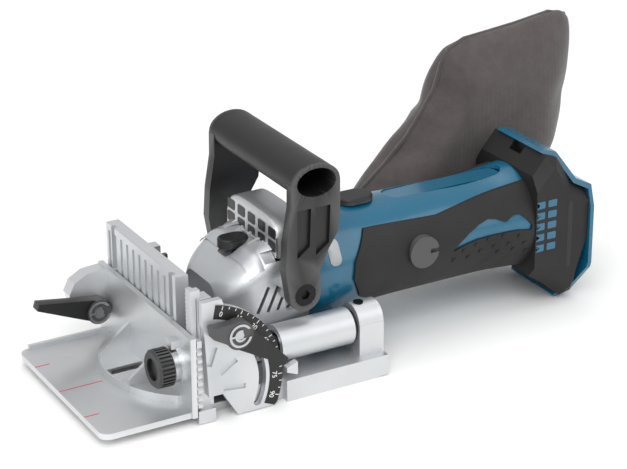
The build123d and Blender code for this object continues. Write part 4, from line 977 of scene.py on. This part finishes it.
    def _rim_dots(self) -> None:
        """Three light marks on the rim."""
        for k, z in enumerate((29.9, 43.4, 57.5)):
            middle = (self.rim_x, z)
            self._patch(f"rim_mark_{k}", "battery_rim", middle, (1.8, 1.8), "white_enamel", 0.08, 0.9)

    def _insert(self) -> None:
        """The bright insert on the housing's near shoulder."""
        middle, size = (50.4, 70.0), (8.0, 14.0)
        self._patch("shoulder_insert", "motor_housing_near", middle, size, "blade_steel", 0.5, 3.2)


@dataclass
class DustBag:
    """The cloth bag: a sewn pouch that is filled out by simulation, with piped seams and a collar."""

    shop: Workshop
    outline: list[Flat] = field(
        default_factory=lambda: [
            (88, 38), (112, 63), (149, 106), (172, 142), (186, 157), (222, 157), (272, 161), (282, 151),
            (279, 122), (272, 60), (245, 44), (190, 36), (135, 30), (105, 25),
        ]
    )
    middle_y: float = 57.0
    half_thick: float = 10.0
    voxel_mm: float = 5.0
    cap_mm: float = 9.0

    def build(self) -> None:
        """Makes the pouch, its seams and its collar."""
        pouch = self._pouch()
        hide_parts("dust_bag")
        self._seams(pouch)
        self._collar()

    def _smooth_outline(self, steps: int = 6) -> list[Flat]:
        """The outline with its corners rounded by one pass of corner cutting."""
        points = list(self.outline)
        for _ in range(1):
            cut: list[Flat] = []
            for k, (ax, az) in enumerate(points):
                bx, bz = points[(k + 1) % len(points)]
                cut.append((ax + 0.25 * (bx - ax), az + 0.25 * (bz - az)))
                cut.append((ax + 0.75 * (bx - ax), az + 0.75 * (bz - az)))
            points = cut
        return points

    def _pouch(self) -> bpy.types.Object:
        """The filled pouch.

        Returns:
            The pouch as one piece on the bag's body.
        """
        outline = self._smooth_outline()
        count = len(outline)
        points: list[Vector] = []
        faces: list[tuple[int, ...]] = []
        centre = Vector((sum(x for x, _ in outline) / count, 0, sum(z for _, z in outline) / count))
        rings = 9
        for side in (-1, 1):
            base = len(points)
            for r in range(rings):
                share = r / rings
                bulge = self.half_thick * math.sqrt(max(0.0, 1 - (1 - share) ** 2.2))
                for x, z in outline:
                    px = x + (centre.x - x) * share
                    pz = z + (centre.z - z) * share
                    points.append(Vector((px, self.middle_y + side * (1.0 + bulge), pz)))
            points.append(Vector((centre.x, self.middle_y + side * (1.0 + self.half_thick), centre.z)))
            for r in range(rings - 1):
                for k in range(count):
                    a, b = base + r * count + k, base + r * count + (k + 1) % count
                    faces.append((a, b, b + count, a + count))
            top = base + rings * count
            for k in range(count):
                last = base + (rings - 1) * count
                faces.append((last + k, last + (k + 1) % count, top))
        half = rings * count + 1
        for k in range(count):
            faces.append((k, (k + 1) % count, half + (k + 1) % count, half + k))
        pouch = self.shop.piece("bag_pouch", points, faces, "bag_cloth", "bag")
        self._fill_out(pouch)
        return pouch

    def _fill_out(self, pouch: bpy.types.Object) -> None:
        """Remeshes the pouch evenly, swells it as cloth and smooths it.

        Args:
            pouch: the pouch, whose mesh is replaced.
        """
        bpy.context.view_layer.objects.active = pouch
        remesh = pouch.modifiers.new("even", "REMESH")
        remesh.mode = "VOXEL"
        remesh.voxel_size = self.voxel_mm * MM
        self._apply(pouch, remesh)
        start = [v.co.copy() for v in pouch.data.vertices]
        self._simulate(pouch)
        cap = self.cap_mm * MM
        for vertex, before in zip(pouch.data.vertices, start):
            move = vertex.co - before
            if move.length > cap:
                vertex.co = before + move * (cap / move.length)
            vertex.co += self._crease(before) * MM
        even = pouch.modifiers.new("ease", "SMOOTH")
        even.factor = 0.5
        even.iterations = 6
        self._apply(pouch, even)
        detail = pouch.modifiers.new("detail", "SUBSURF")
        detail.levels = 1
        detail.render_levels = 1
        self._apply(pouch, detail)
        for polygon in pouch.data.polygons:
            polygon.use_smooth = True

    def _simulate(self, pouch: bpy.types.Object) -> None:
        """Runs the cloth with air in it and no gravity, held by its neck.

        Args:
            pouch: the remeshed pouch.
        """
        neck = pouch.vertex_groups.new(name="neck")
        neck.add([v.index for v in pouch.data.vertices if v.co.x < 102 * MM], 1.0, "REPLACE")
        cloth = pouch.modifiers.new("cloth", "CLOTH")
        cloth.settings.quality = 5
        cloth.settings.mass = 0.2
        cloth.settings.tension_stiffness = 12
        cloth.settings.compression_stiffness = 12
        cloth.settings.bending_stiffness = 0.4
        cloth.settings.use_pressure = True
        cloth.settings.uniform_pressure_force = 4.0
        cloth.settings.shrink_min = -0.03
        cloth.settings.vertex_group_mass = "neck"
        cloth.settings.effector_weights.gravity = 0.0
        cloth.collision_settings.use_collision = False
        scene = bpy.context.scene
        cloth.point_cache.frame_start = 1
        cloth.point_cache.frame_end = 20
        for step in range(1, 21):
            scene.frame_set(step)
        self._apply(pouch, cloth)
        scene.frame_set(1)

    def _crease(self, place: Vector) -> Vector:
        """How far the cloth's long soft folds push a point sideways, in millimetres."""
        x, z = place.x / MM, place.z / MM
        side = 1 if place.y > self.middle_y * MM else -1
        fan = math.sin((x - 0.55 * z) / 13.0 + 1.3 * side) * math.exp(-(((z - 40) / 75) ** 2))
        fold = math.sin((x + 0.4 * z) / 21.0 + 0.7 * side) * 0.6
        edge = min(1.0, max(0.0, (x - 95) / 30))
        return Vector((0, side * (3.2 * fan + 1.2 * fold) * edge, 0))

    def _apply(self, obj: bpy.types.Object, modifier: bpy.types.Modifier) -> None:
        """Replaces an object's mesh by its evaluated one and drops the modifier."""
        bpy.context.view_layer.update()
        graph = bpy.context.evaluated_depsgraph_get()
        mesh = bpy.data.meshes.new_from_object(obj.evaluated_get(graph), depsgraph=graph)
        obj.modifiers.remove(modifier)
        old = obj.data
        obj.data = mesh
        mesh.name = obj.name
        bpy.data.meshes.remove(old)

    def _seams(self, pouch: bpy.types.Object) -> None:
        """The piped seam that runs round the pouch where its two sides are sewn."""
        corners = [v.co.copy() for v in pouch.data.vertices]
        tree = BVHTree.FromPolygons(corners, [tuple(p.vertices) for p in pouch.data.polygons])
        path: list[Vector] = []
        outline = self._smooth_outline()
        middle_x = sum(x for x, _ in outline) / len(outline)
        middle_z = sum(z for _, z in outline) / len(outline)
        centre = Vector((middle_x, self.middle_y, middle_z))
        for x, z in outline:
            start = Vector((x, self.middle_y, z))
            out = start + (start - centre).normalized() * 30
            place, _, _, _ = tree.ray_cast(out * MM, (centre - out).normalized())
            if place is not None and place.x > 95 * MM:
                path.append(place / MM)
        first = min(range(len(path)), key=lambda k: path[k].x)
        path = path[first:] + path[:first]
        points, faces = self.shop.tube(path, 1.3, 8)
        seam = self.shop.piece("bag_piping", points, faces, "bag_cloth", "bag")

    def _collar(self) -> None:
        """The stiff collar that pushes onto the spout."""
        lean = math.radians(52)
        ahead = Vector((math.sin(lean), 0, math.cos(lean)))
        start = Vector((71.8, self.middle_y, 15.0))
        outer, inner = 14.0, 11.7
        side = Vector((0, 1, 0))
        other = ahead.cross(side)
        points: list[Vector] = []
        faces: list[tuple[int, ...]] = []
        sides = 40
        profile = [(12, inner), (12, outer - 0.4), (12.4, outer), (20, outer), (20.6, outer - 0.6)]
        profile += [(27, outer - 0.6), (27.6, outer), (46, outer), (46, inner)]
        for s, radius in profile:
            for j in range(sides):
                turn = 2 * math.pi * j / sides
                points.append(start + ahead * s + (side * math.cos(turn) + other * math.sin(turn)) * radius)
        count = len(profile)
        for k in range(count):
            for j in range(sides):
                a, b = k * sides + j, k * sides + (j + 1) % sides
                c, d = ((k + 1) % count) * sides + (j + 1) % sides, ((k + 1) % count) * sides + j
                faces.append((a, b, c, d))
        collar = self.shop.piece("bag_collar", points, faces, "glass_filled_nylon", "bag")
        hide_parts("dust_bag")


def main() -> None:
    """Builds the studio and every sub-assembly."""
    logging.basicConfig(level=logging.INFO, format="%(name)s: %(message)s")
    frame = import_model()
    shop = Workshop(frame, Paintbox(Finishes()))
    Studio().build()
    for assembly in (Base(shop), Cutter(shop), Fence(shop), AngleGuide(shop), MotorUnit(shop), DustBag(shop)):
        LOG.info("building %s", type(assembly).__name__)
        assembly.build()


if __name__ == "__main__":
    main()
